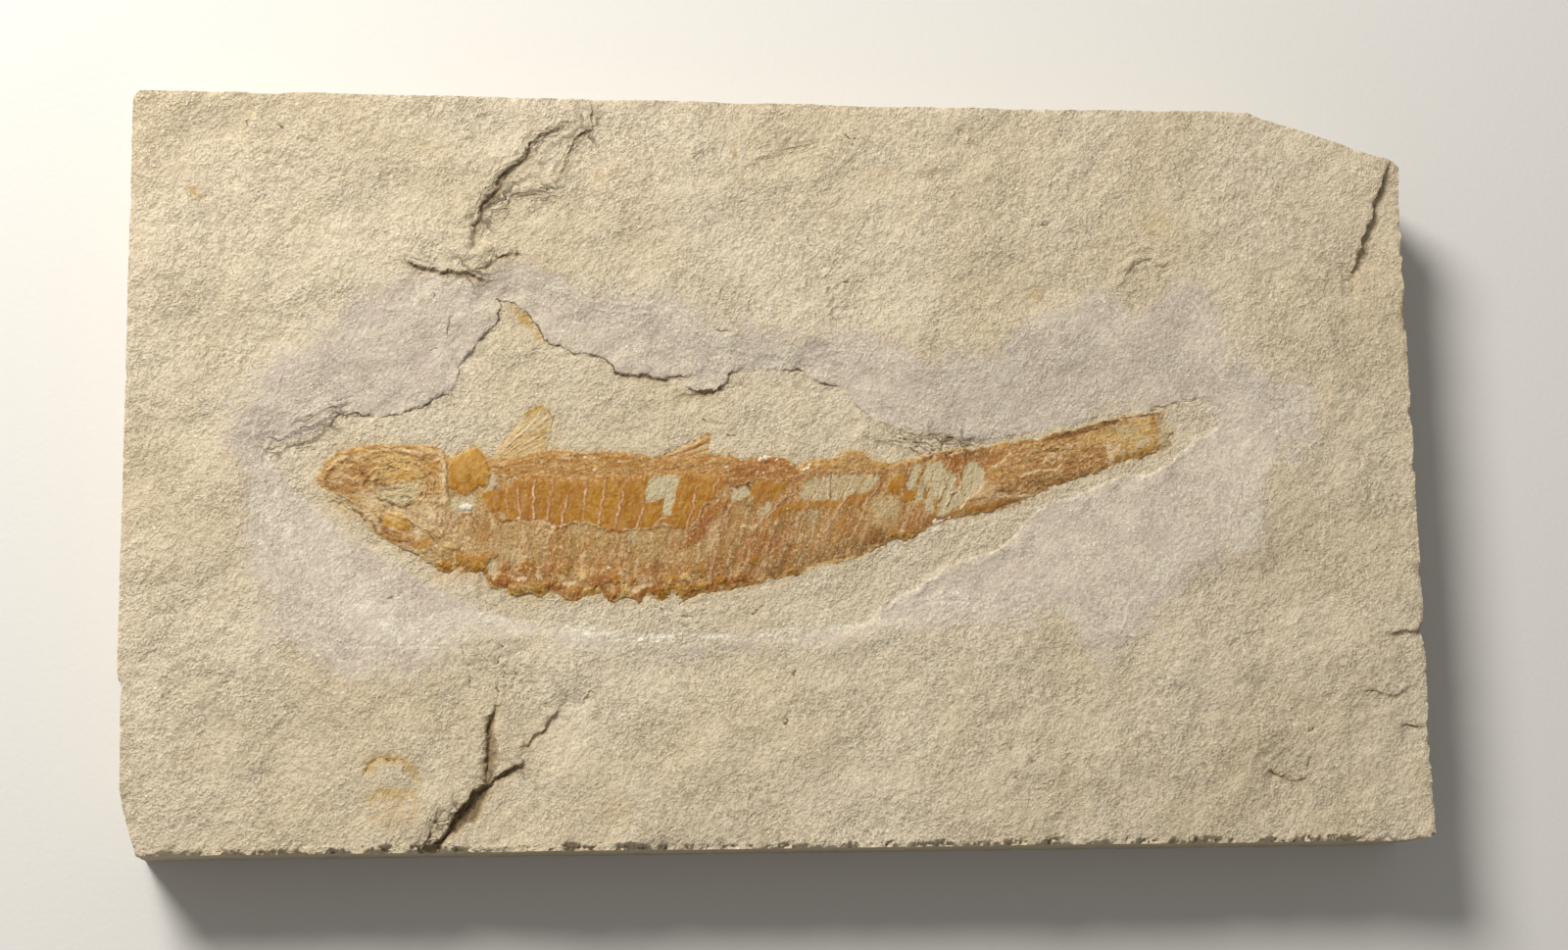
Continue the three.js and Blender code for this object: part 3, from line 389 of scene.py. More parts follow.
# A stroke does the same along a line and fades over about `width` millimetres to either side
Stroke = namedtuple("Stroke", "colour width share rise line")
STROKES = [
    # skull
    Stroke("ridge", 0.22, 0.7, 0.03, [(-35.6, 1.6), (-35.5, 0.5), (-35.4, -0.8), (-35.4, -3.6)]),
    Stroke("dark", 0.06, 0.6, -0.04, [(-35.1, 0.4), (-35.05, -1), (-34.95, -2.2), (-34.9, -4.4)]),
    Stroke("umber", 0.13, 0.8, -0.05, [
        (-47.3, -1.3), (-46.8, -0.5), (-46, 0.3), (-45.3, 0.75), (-44.6, 0.7)]),
    Stroke("umber", 0.07, 0.7, -0.03, [(-47.6, -0.4), (-47, 0.4)]),
    Stroke("ridge", 0.12, 0.6, 0.03, [(-46.9, 0.1), (-45.9, 1), (-44.6, 1.1), (-43.6, 0.8)]),
    Stroke("umber", 0.08, 0.7, -0.03, [(-43.2, 0.8), (-42.4, 1), (-41.7, 1.05)]),
    Stroke("umber", 0.07, 0.6, -0.03, [(-43.5, 1.9), (-41, 2.15), (-38.8, 1.95)]),
    Stroke("ridge", 0.08, 0.7, 0.03, [(-43, 1.6), (-40.6, 1.85), (-38, 1.6), (-36.2, 1.6)]),
    Stroke("umber", 0.07, 0.6, -0.03, [(-42.6, 1.4), (-40.5, 1.55), (-38, 1.25)]),
    Stroke("straw", 0.14, 0.8, 0.02, [(-41.4, 1.1), (-40, 1.15), (-38.7, 0.8)]),
    Stroke("umber", 0.06, 0.5, -0.02, [(-41.2, 0.8), (-39.9, 0.8), (-38.8, 0.4)]),
    Stroke("straw", 0.12, 0.8, 0.02, [(-41.3, 0.5), (-40.3, 0.4), (-39.5, -0.1), (-38.6, -0.5)]),
    Stroke("umber", 0.07, 0.5, -0.02, [(-42, 0.2), (-40.7, 0), (-39.8, -0.6)]),
    Stroke("umber", 0.09, 0.8, -0.04, [(-43.3, -1.4), (-42.6, -1.5), (-42, -1.3), (-41.3, -1.1)]),
    Stroke("umber", 0.09, 0.7, -0.04, [(-43.2, -2), (-42.5, -1.7), (-41.7, -1.9), (-40.9, -2)]),
    Stroke("umber", 0.09, 0.6, -0.03, [(-38.6, -1.1), (-37.9, -1.25), (-37.2, -1), (-36.8, -0.6)]),
    Stroke("umber", 0.16, 0.5, -0.02, [(-44.8, -0.2), (-43.8, -0.5), (-43.1, -1.1)]),
    Stroke("dark", 0.1, 0.8, -0.07, [
        (-42, -3.2), (-41.2, -3.6), (-40.4, -4), (-39.6, -4.2), (-38.9, -3.9), (-38.2, -3.2),
        (-37.5, -2.7)]),
    Stroke("dark", 0.08, 0.7, -0.05, [(-39.7, -3.05), (-39, -3.2), (-38.6, -3.1)]),
    Stroke("straw", 0.12, 0.6, 0.02, [(-41.5, -2.6), (-40.4, -2.7), (-39.2, -2.4), (-38.2, -1.9)]),
    Stroke("umber", 0.07, 0.6, -0.03, [(-42.1, -2.2), (-40.8, -2.5), (-39.9, -2.2)]),
    Stroke("dark", 0.07, 0.7, -0.05, [
        (-38.9, -5.6), (-38, -6.1), (-37.3, -6.5), (-36.6, -7.3), (-36.1, -7.9)]),
    Stroke("ridge", 0.1, 0.7, 0.03, [(-38.9, -5.3), (-37.9, -6), (-37.1, -6.7)]),
    Stroke("umber", 0.1, 0.7, -0.04, [
        (-44.6, -4.2), (-43.5, -5.2), (-42.6, -5.9), (-42.2, -6.6), (-41.4, -7.1), (-40.9, -7.5)]),
    Stroke("ridge", 0.1, 0.6, 0.03, [(-44, -4.3), (-43, -5), (-42.2, -5.8), (-41.7, -6.5)]),
    Stroke("ridge", 0.13, 0.6, 0.03, [(-41, -6.3), (-40, -6.7), (-39.2, -6.9)]),
    Stroke("umber", 0.12, 0.6, -0.03, [(-40.9, -7.3), (-39.8, -7.6), (-38.6, -7.7)]),
    Stroke("ridge", 0.14, 0.5, 0.02, [(-38.8, -3), (-37.6, -3.4), (-36.6, -4.4), (-36.4, -5.6)]),
    Stroke("umber", 0.07, 0.5, -0.02, [(-38.2, -4.4), (-37.3, -5), (-37, -6)]),
    Stroke("umber", 0.07, 0.5, -0.02, [(-36.9, -3.4), (-36.1, -5), (-35.9, -6.8)]),
    Stroke("dark", 0.07, 0.6, -0.04, [(-34.6, -9), (-34.4, -8.6), (-33.8, -8.2), (-33.1, -8.1)]),
    Stroke("dark", 0.06, 0.5, -0.03, [(-33.3, -4.8), (-32.6, -5), (-32.3, -5.4)]),
    # flank
    Stroke("ridge", 0.1, 0.7, 0.03, [
        (-29.4, -5.9), (-28.4, -5.7), (-27.5, -5.6), (-25.9, -5.5), (-24.7, -5.7), (-24.2, -6.1)]),
    Stroke("ridge", 0.1, 0.6, 0.02, [(-5, -6), (-4.2, -6.1), (-3.3, -6)]),
    Stroke("ridge", 0.08, 0.7, 0.03, [(4.8, -9.1), (6, -8.7), (7.2, -8.2), (9.3, -7.9)]),
    Stroke("umber", 0.12, 0.6, -0.03, [(5, -8.9), (6.5, -8.5), (8.4, -7.8), (9.9, -7.3)]),
    Stroke("straw", 0.14, 0.7, 0.02, [(1.2, -10.6), (3, -9.9), (5, -9.6), (7, -9.2), (9.6, -8.2)]),
    Stroke("amber", 0.3, 0.7, 0.03, [(12.4, -6.9), (13.5, -6.6), (14.7, -6.4)]),
    Stroke("umber", 0.06, 0.5, -0.03, [(-16.4, -7.3), (-16.5, -8.6), (-16.7, -9.6)]),
    Stroke("amber", 0.3, 0.5, 0.02, [(-17.7, -10), (-17.9, -11.5)]),
    Stroke("rust", 0.5, 0.5, 0.03, [(-14, -10.8), (-14.3, -12)]),
    Stroke("dark", 0.09, 0.7, -0.04, [(-29.6, -5.7), (-28.9, -5.5), (-28.5, -5.4)]),
    Stroke("umber", 0.09, 0.4, -0.02, [
        (-23.2, -6.1), (-22.5, -5.8), (-20.9, -5.9), (-19.6, -6.3), (-17.8, -6.7), (-15.2, -6.5),
        (-13.4, -6.2), (-12.3, -6.1), (-11, -6.4)]),
    Stroke("ridge", 0.08, 0.6, 0.02, [(-23.8, -6), (-22.6, -5.7), (-21, -5.7), (-19.6, -6.1)]),
    Stroke("ridge", 0.08, 0.5, 0.02, [(-17.2, -6.4), (-15.2, -6.3), (-13.4, -5.9), (-12.2, -5.9)]),
    Stroke("dark", 0.08, 0.6, -0.04, [(-6.1, -1.9), (-5, -1.8), (-4.1, -1.4)]),
    # in the windows, thin umber strokes beside raised pale ones are painted as their shade
    Stroke("umber", 0.09, 0.8, -0.03, [(3.5, -1), (2.9, -2), (2.4, -3.1)]),
    Stroke("ridge", 0.09, 0.8, 0.06, [(3.7, -1), (3.1, -2), (2.6, -3.1)]),
    Stroke("umber", 0.09, 0.75, -0.03, [(4.5, -0.5), (4.4, -1.8), (4.3, -3.1)]),
    Stroke("ridge", 0.09, 0.8, 0.04, [(4.25, -0.9), (4.15, -2), (4.05, -3.1)]),
    Stroke("bone", 0.08, 0.6, 0.01, [(4.5, -1.1), (6.6, -1.1), (8.2, -0.9)]),
    Stroke("bone", 0.08, 0.7, 0.01, [(5, -1.3), (4.4, -2.8)]),
    Stroke("umber", 0.09, 0.8, -0.03, [(6.5, -1.2), (6.1, -2), (5.7, -2.7)]),
    Stroke("ridge", 0.09, 0.8, 0.06, [(6.7, -1.2), (6.3, -2), (5.9, -2.7)]),
    Stroke("bone", 0.1, 0.7, 0.01, [(8.2, -0.6), (7.6, -1.6), (7.1, -2.5)]),
    Stroke("amber", 0.2, 1, 0.03, [(14.3, 0.4), (13.9, -0.5), (13.4, -2), (12.8, -3.3)]),
    # in the next windows, too, thin umber strokes beside raised pale ones are painted as their shade
    Stroke("ridge", 0.09, 1.2, 0.03, [(15.5, -0.4), (15.1, -1), (14.6, -1.9), (14.3, -2.7)]),
    Stroke("umber", 0.07, 0.7, -0.01, [(15.3, -0.5), (14.9, -1.1), (14.4, -2), (14.1, -2.7)]),
    Stroke("amber", 0.18, 1, 0.01, [(14.8, -1.9), (14.4, -2.7), (14, -3.4)]),
    Stroke("ridge", 0.1, 1.1, 0.07, [(16.8, -0.7), (16.1, -2.4), (15.6, -3.5), (15.9, -4.5)]),
    Stroke("amber", 0.14, 0.98, 0.01, [(15.9, -2.9), (15.4, -3.8), (15.2, -4.6)]),
    Stroke("ridge", 0.08, 1.1, 0.02, [(17.6, -1), (16.8, -2.5), (16.5, -3.6), (16.3, -4.8)]),
    Stroke("bone", 0.08, 0.7, -0.01, [(17.8, -0.3), (17.9, -1.3), (17.6, -2), (17.2, -2.6)]),
    Stroke("ridge", 0.09, 0.98, 0.02, [(20.3, -1.8), (19.7, -2.5), (18.8, -3.1), (18, -4.1)]),
    Stroke("umber", 0.09, 0.7, -0.03, [(16.95, -0.7), (16.3, -2.3), (15.8, -3.4)]),
    Stroke("amber", 0.22, 0.7, 0.02, [(15.2, -3.1), (15.6, -4.1), (15.2, -4.8)]),
    Stroke("ridge", 0.1, 1.1, 0.07, [
        (17.8, -0.4), (18.2, -1.2), (18, -2), (16.9, -2.6), (16.6, -3.7)]),
    Stroke("umber", 0.09, 0.7, -0.04, [
        (17.95, -0.4), (18.35, -1.2), (18.15, -2.1), (17.05, -2.7), (16.75, -3.7)]),
    # raised lines between the rear flank's rows, each with an umber line just east of it painted as its
    # shadow
    Stroke("ridge", 0.1, 0.45, 0.03, [(6, -2.9), (4.9, -4.5), (3.9, -6.2), (2.7, -7.9)]),
    Stroke("umber", 0.1, 0.4, -0.03, [(6.2, -2.9), (5.1, -4.5), (4.1, -6.2), (2.9, -7.9)]),
    Stroke("ridge", 0.1, 0.45, 0.03, [(2, -3.6), (1.4, -5.5), (0.9, -7.6)]),
    Stroke("umber", 0.1, 0.4, -0.03, [(2.2, -3.6), (1.6, -5.5), (1.1, -7.6)]),
    Stroke("ridge", 0.1, 0.4, 0.03, [(8.2, -3), (7.9, -4.2), (7.2, -5.9), (6, -7.7)]),
    Stroke("umber", 0.1, 0.35, -0.03, [(8.4, -3), (8.1, -4.2), (7.4, -5.9), (6.2, -7.7)]),
    Stroke("ridge", 0.09, 0.9, 0.02, [(18.6, -0.9), (18, -2), (17.3, -3.3)]),
    Stroke("amber", 0.12, 0.6, 0.01, [(18.2, 0), (18.1, -1.2), (17.7, -2)]),
    Stroke("dark", 0.09, 0.7, -0.04, [(-11.5, 2.1), (-12.7, 1.8), (-14.1, 1.1)]),
    Stroke("umber", 0.16, 0.7, 0, [(14.3, 1), (14.8, 1.8), (15.9, 2.1), (17.1, 1.5), (17.7, 1.9),
                                   (18.9, 1.5), (19.9, 2.1)]),
    Stroke("dark", 0.1, 0.8, -0.04, [(14.8, 1.2), (15.3, 1.7)]),
    Stroke("dark", 0.1, 0.8, -0.04, [(16.2, 1.9), (17, 1.7), (17.6, 2.1)]),
    Stroke("dark", 0.12, 0.8, -0.04, [(18.8, 1.7), (19.6, 1.9), (20, 2.4)]),
    Stroke("ridge", 0.12, 0.8, 0.04, [(17, 1.5), (18.3, 2)]),
    # tail
    Stroke("umber", 0.3, 0.7, 0.03, [(27.5, 3.4), (29.8, 3.9), (32, 4.5), (33.8, 5.1), (35.6, 5.5)]),
    Stroke("dark", 0.11, 0.85, -0.03, [
        (28.5, 3.7), (30, 4.1), (31.8, 4.7), (34, 5.25), (35.5, 5.6), (37.4, 5.9), (40.2, 6.4)]),
    Stroke("umber", 0.12, 0.6, 0.02, [(23, 2.3), (25, 3), (28, 3.5)]),
    Stroke("umber", 0.14, 0.7, -0.02, [(29.8, 3.6), (31.5, 4.2), (33, 4.6), (35.6, 5.4)]),
    Stroke("ridge", 0.12, 0.7, 0.03, [(21.6, 0.3), (22.6, 0.9), (23.5, 1.8)]),
    Stroke("ridge", 0.1, 0.7, 0.03, [(21.3, -2.9), (23.6, -2.7), (25.4, -2.7), (26.6, -2.3)]),
    Stroke("umber", 0.13, 0.6, -0.04, [(22.3, -2.4), (23.6, -2.1), (24.2, -1.8)]),
    Stroke("umber", 0.13, 0.6, -0.04, [(25.2, -1.7), (26, -1.2), (27.2, -1.3)]),
    Stroke("dark", 0.09, 0.6, -0.03, [(19.2, -3.3), (21.4, -2.8), (22, -2.2), (23.3, -2.4)]),
    Stroke("ridge", 0.1, 0.7, 0.03, [(24.5, -0.6), (26, -0.1), (27.5, 0), (28.8, 0.3)]),
    Stroke("umber", 0.1, 0.6, -0.03, [(24.4, -0.9), (26, -0.7), (27.4, -0.3)]),
    Stroke("umber", 0.1, 0.6, -0.03, [(29.4, 0.9), (30.8, 0.8), (32.4, 1.3)]),
    Stroke("ridge", 0.1, 0.6, 0.03, [(27.2, 1.8), (29, 1.9), (31.2, 2.2)]),
    Stroke("umber", 0.1, 0.6, -0.03, [(25, 1.6), (27.6, 2.1), (30.6, 2), (32.9, 2.4)]),
    Stroke("umber", 0.12, 0.7, 0.01, [
        (22, -3.9), (25.5, -2.8), (29.5, -1.1), (31.3, -0.5), (33, 0.1), (33.7, 0.3)]),
    Stroke("rust", 0.12, 0.8, 0.01, [(34.8, 1), (36.4, 1.1), (38.2, 1.6), (39.6, 2.2), (41.1, 2.6)]),
    Stroke("amber", 0.26, 0.28, 0.01, [(38.5, 5.6), (38.9, 4.9), (38.7, 3.7), (39, 3)]),
    Stroke("umber", 0.1, 0.4, -0.01, [(37, 3.9), (36.1, 3.3), (35.9, 2.4), (36.1, 1.6)]),
    Stroke("rust", 0.3, 0.3, 0.01, [(40, 2.7), (41, 3.4), (41.1, 4.3)]),
]
FIN_STROKES = [
    # breast fin: rays, the stone between them and the golden tips
    Stroke("straw", 0.3, 0.6, 0.04, [(-30.4, 1.6), (-28.9, 3.5), (-27.6, 5.4), (-26.6, 6.1)]),
    Stroke("pale", 0.3, 0.6, -0.04, [(-27.3, 4.1), (-26.6, 4.7), (-25.9, 5), (-25.1, 5.7)]),
    Stroke("pale", 0.2, 0.6, -0.04, [(-26.7, 3.5), (-25.9, 4), (-25.2, 4.6)]),
    Stroke("ridge", 0.1, 0.9, 0.05, [(-30.2, 1.5), (-28.6, 3.3), (-27.3, 4.9)]),
    Stroke("ridge", 0.1, 0.9, 0.05, [(-29.8, 1.5), (-28, 3.2), (-26.8, 4.3), (-25.7, 5.6)]),
    Stroke("bone", 0.08, 0.4, -0.03, [(-30, 1.9), (-28.8, 3.4), (-27.8, 4.8)]),
    Stroke("bone", 0.1, 0.5, -0.03, [(-30, 1.4), (-28.7, 2.4), (-27.9, 3.1), (-26.6, 3.8)]),
    Stroke("bone", 0.08, 0.4, -0.02, [(-28.8, 2.1), (-27.1, 3.1), (-25.4, 3.9)]),
    Stroke("bone", 0.08, 0.4, -0.02, [(-28.8, 1.8), (-26.7, 2.6), (-24.8, 3)]),
    Stroke("bone", 0.08, 0.4, -0.02, [(-29.6, 1.2), (-26.8, 1.9), (-25, 2.1)]),
    Stroke("amber", 0.35, 0.6, 0.04, [(-27.4, 5.4), (-26.6, 6.2), (-25.9, 6.3), (-25, 6.3)]),
    Stroke("amber", 0.3, 0.5, 0.03, [(-26, 3.5), (-25.2, 3.8)]),
    Stroke("umber", 0.08, 0.8, 0.02, [(-25.1, 6.5), (-24.7, 6), (-24.5, 5.5), (-24.1, 5.3)]),
    Stroke("umber", 0.06, 0.6, 0.02, [(-27.2, 6.1), (-26.3, 6.6), (-25.4, 6.8)]),
    # back fin
    Stroke("bone", 0.5, 0.8, 0.03, [(-13.8, 0.9), (-11, 1.7), (-9, 2.9), (-8, 3.5)]),
    Stroke("dark", 0.09, 0.9, 0.02, [(-14.2, 0.9), (-12.6, 1.7), (-11.2, 2.3), (-9.8, 3.1)]),
    Stroke("umber", 0.1, 0.8, 0.02, [(-9.8, 3.1), (-8.2, 3.9)]),
    Stroke("ridge", 0.07, 0.8, 0.03, [(-12.6, 1.4), (-10.6, 2.2), (-8.4, 3.4)]),
    Stroke("rust", 0.1, 0.9, 0.02, [(-13, 1), (-11, 1.7), (-8.4, 2.9)]),
    Stroke("ridge", 0.07, 0.8, 0.03, [(-11.6, 1.3), (-9.8, 2), (-8.2, 2.6)]),
    Stroke("rust", 0.09, 0.9, 0.02, [(-11.2, 1.1), (-8.1, 2.2)]),
    Stroke("bone", 0.3, 0.6, 0.02, [(-10, 1.2), (-7.6, 1.5)]),
]
Lobe = namedtuple("Lobe", "colour x y long short turn")
LOBES = [  # knobbly scales along the throat and belly
    Lobe("amber", -35.5, -10.1, 0.9, 0.6, -20), Lobe("straw", -33.8, -10.8, 0.6, 0.4, 10),
    Lobe("amber", -32, -9.8, 1.1, 1, 30), Lobe("rust", -29.5, -11.8, 1, 0.8, 30),
    Lobe("amber", -28.2, -12.6, 0.8, 0.6, -10), Lobe("amber", -27.1, -10.1, 0.8, 0.7, 0),
    Lobe("straw", -26.7, -12.6, 0.6, 0.4, 0), Lobe("amber", -25.5, -12.3, 1, 0.5, -10),
    Lobe("rust", -24.5, -12.2, 0.9, 0.5, -25), Lobe("rust", -22.3, -13, 1.2, 0.7, 15),
    Lobe("amber", -20.7, -12.8, 0.7, 0.5, 30), Lobe("rust", -19.6, -11.6, 1, 0.7, 20),
    Lobe("rust", -18.3, -13.3, 0.6, 0.7, 30), Lobe("straw", -17.1, -12.7, 0.7, 0.6, 70),
    Lobe("rust", -15.5, -13.4, 0.5, 0.6, 0), Lobe("rust", -13.7, -12.3, 1.2, 0.6, 60),
    Lobe("amber", -13.1, -12.9, 0.8, 0.7, 20), Lobe("amber", -11, -12.8, 1.1, 0.7, 10),
    Lobe("amber", -9.4, -12.4, 0.9, 0.5, 10), Lobe("rust", -25.2, -10.6, 0.8, 0.5, 40),
    Lobe("amber", -9.3, -10.3, 0.8, 1, 0), Lobe("amber", 0.3, -10.7, 0.9, 0.4, 15),
    Lobe("amber", 11.2, -6.9, 0.8, 0.3, 10), Lobe("amber", 13, -6.8, 0.7, 0.4, 15),
    Lobe("amber", 14.3, -6.3, 0.7, 0.3, 5), Lobe("amber", -3.6, -9.3, 0.7, 0.6, 60),
    Lobe("straw", -34.7, -8.2, 0.8, 0.5, -30), Lobe("amber", -33.6, -9.5, 0.8, 0.6, -20),
    Lobe("amber", -30.8, -9.1, 0.8, 0.6, 20), Lobe("rust", -29.2, -10.2, 0.7, 0.5, 50),
    Lobe("amber", -23.1, -10.4, 0.8, 0.6, 30), Lobe("straw", -21.2, -11, 0.7, 0.5, -20),
    Lobe("amber", -17.9, -11.5, 0.9, 0.6, 20), Lobe("rust", -16.3, -11.7, 0.7, 0.5, 60),
    Lobe("amber", -12.2, -11.6, 0.8, 0.6, 10), Lobe("straw", -10.7, -11.3, 0.7, 0.5, -30),
    Lobe("amber", -7.2, -11.6, 0.9, 0.5, 10), Lobe("rust", -5.4, -11.3, 0.7, 0.5, 20),
]
PALE_GAPS = [  # (x, y, long radius, short radius, turn)
    (-22.8, -11.8, 0.9, 0.35, 0), (-15.3, -12.3, 1.3, 0.4, 15), (-27.6, -11.3, 0.6, 0.4, 0),
    (-19.5, -13.3, 0.5, 0.4, 0), (-11.9, -13.2, 0.4, 0.3, 0), (-14.6, -13.4, 0.6, 0.3, 30),
    (-33.2, -7.6, 0.4, 0.7, 0), (-30.4, -11, 0.6, 0.5, 0), (-25.9, -11, 0.4, 0.4, 0),
    (-35.9, -6.4, 0.3, 0.5, 0),
]
CRYSTALS = [  # clear calcite: (x, y, radius)
    (-33.2, -4.1, 0.45), (-32.7, -3.9, 0.3), (-31.1, -12.4, 0.28), (-2.4, 1.3, 0.3),
    (-1.9, 1.45, 0.28), (-2.9, 1.1, 0.22), (1.5, -0.1, 0.25), (1.9, 0.2, 0.28), (2.3, 0.5, 0.2),
    (-3.3, -0.4, 0.16), (-2.5, -0.4, 0.16), (-9.7, 0.3, 0.16), (-21.8, 1.95, 0.25),
    (35.5, 5.55, 0.24), (-23.5, -6, 0.14), (-2.9, -12, 0.22), (-2.2, -11.8, 0.24),
    (15.4, -5.5, 0.3), (16.1, -5.2, 0.3), (16.8, -5, 0.25), (14.6, -5.9, 0.18), (-21, 1.2, 0.2),
    (-6.4, 0.15, 0.18), (-4.9, 0.9, 0.16), (-1.2, 0.9, 0.16), (0.3, 0.6, 0.15),
    (-28.4, -5.4, 0.14), (-20.6, -8.2, 0.12), (-8.4, 0.35, 0.12),
    (-18.6, -10.3, 0.14), (-1.7, 0.2, 0.12), (-27.9, -5.2, 0.12), (-25.9, -10.5, 0.13),
    (-29.3, -1.4, 0.13), (0.5, -0.6, 0.14), (3.5, -5.9, 0.12), (-0.2, -4.2, 0.12),
]
# How widely the lengthwise fibres are spread from belly to back, by x
FIBRE_SPREAD = [(-48, 8), (-40, 11), (-20, 14), (0, 12), (20, 7), (41, 4.5)]


# Numbers that vary in space

def smoothstep(low, high, value):
    """0 below low, 1 above high, and a smooth ramp between them."""
    t = np.clip((value - low) / (high - low), 0, 1)
    return t * t * (3 - 2 * t)


def lerp(a, b, share):
    """a at share 0 and b at share 1."""
    return a + (b - a) * share


def read_table(table, x):
    """Reads a list of (x, value) pairs at x, with straight lines between them."""
    xs, values = zip(*table)
    return np.interp(x, xs, values)


def waves(x, y, size, seed):
    """Smooth random hills and hollows of that size, between about -1 and 1."""
    cells = 256
    angle = np.random.default_rng(seed).uniform(0, 2 * np.pi, (cells, cells))
    u, v = x / size, y / size
    i, j = np.floor(u).astype(int), np.floor(v).astype(int)
    u, v = u - i, v - j
    ease_u, ease_v = [t ** 3 * (t * (6 * t - 15) + 10) for t in (u, v)]
    total = np.zeros_like(u)
    for a in (0, 1):
        for b in (0, 1):
            turn = angle[(i + a) % cells, (j + b) % cells]
            slope = np.cos(turn) * (u - a) + np.sin(turn) * (v - b)
            total += slope * (ease_u if a else 1 - ease_u) * (ease_v if b else 1 - ease_v)
    return 1.6 * total


def rough_waves(x, y, size, seed, octaves=3, fade=0.5):
    """Waves with finer waves on them, each octave half the size and `fade` of the height."""
    return sum(fade ** k * waves(x, y, size / 2 ** k, seed + k) for k in range(octaves))


def lumps(x, y, size, seed, octaves=3, fade=0.5):
    """Rounded lumps of that size with sharp creases between them, from 0 to about 1."""
    return sum(fade ** k * np.abs(waves(x, y, size / 2 ** k, seed + k)) for k in range(octaves))


def terraces(value, step, soft):
    """The value cut into level steps; each riser takes up that share of the way."""
    level = value / step
    floor = np.floor(level)
    return step * (floor + smoothstep(1 - soft, 1, level - floor))


def along_grain(x, y, turn_deg, stretch):
    """Coordinates in which waves come out longer by `stretch` in the turned direction."""
    c, s = math.cos(math.radians(turn_deg)), math.sin(math.radians(turn_deg))
    return (x * c + y * s) / stretch, y * c - x * s


Near = namedtuple("Near", "distance left along length")


def near_line(x, y, line):
    """For each point its distance to a line, whether it is on its left, and how far along.
    The line's length comes last."""
    best = np.full(x.shape, np.inf)
    left = np.zeros(x.shape, bool)
    along = np.zeros(x.shape)
    lengths = [math.dist(a, b) for a, b in zip(line, line[1:])]
    start = 0.0
    for (ax, ay), (bx, by), length in zip(line, line[1:], lengths):
        dx, dy = bx - ax, by - ay
        t = np.clip(((x - ax) * dx + (y - ay) * dy) / length ** 2, 0, 1)
        ox, oy = x - ax - t * dx, y - ay - t * dy
        distance = np.hypot(ox, oy)
        closer = distance < best
        best = np.where(closer, distance, best)
        left = np.where(closer, dx * oy - dy * ox > 0, left)
        along = np.where(closer, start + t * length, along)
        start += length
    return Near(best, left, along, start)


def depth_inside(x, y, outline):
    """Distance to a closed outline, positive inside it and negative outside."""
    inside = np.zeros(x.shape, bool)
    ring = [*outline, outline[0]]
    for (ax, ay), (bx, by) in zip(ring, ring[1:]):
        if ay == by:
            continue
        crosses = (ay > y) != (by > y)
        inside ^= crosses & (x < (bx - ax) * (y - ay) / (by - ay) + ax)
    distance = near_line(x, y, ring).distance
    return np.where(inside, distance, -distance)


# Meshes and materials

def put_mesh(name, points, triangles, masks, node, sharp_deg):
    """Makes a piece from points in millimetres, with a number per point for each mask."""
    mesh = bpy.data.meshes.new(name)
    mesh.vertices.add(len(points))
    mesh.vertices.foreach_set("co", (np.asarray(points) * METRES).ravel())
    mesh.loops.add(3 * len(triangles))
    mesh.loops.foreach_set("vertex_index", np.asarray(triangles).ravel())
    mesh.polygons.add(len(triangles))
    mesh.polygons.foreach_set("loop_start", 3 * np.arange(len(triangles)))
    mesh.update(calc_edges=True)
    mesh.shade_smooth()
    mesh.set_sharp_from_angle(angle=math.radians(sharp_deg))
    for mask, values in masks.items():
        mesh.attributes.new(mask, "FLOAT", "POINT").data.foreach_set("value", values)
    mesh.validate()
    piece = bpy.data.objects.new(name, mesh)
    bpy.context.scene.collection.objects.link(piece)
    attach(piece, "root")
    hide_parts(node)
    return piece


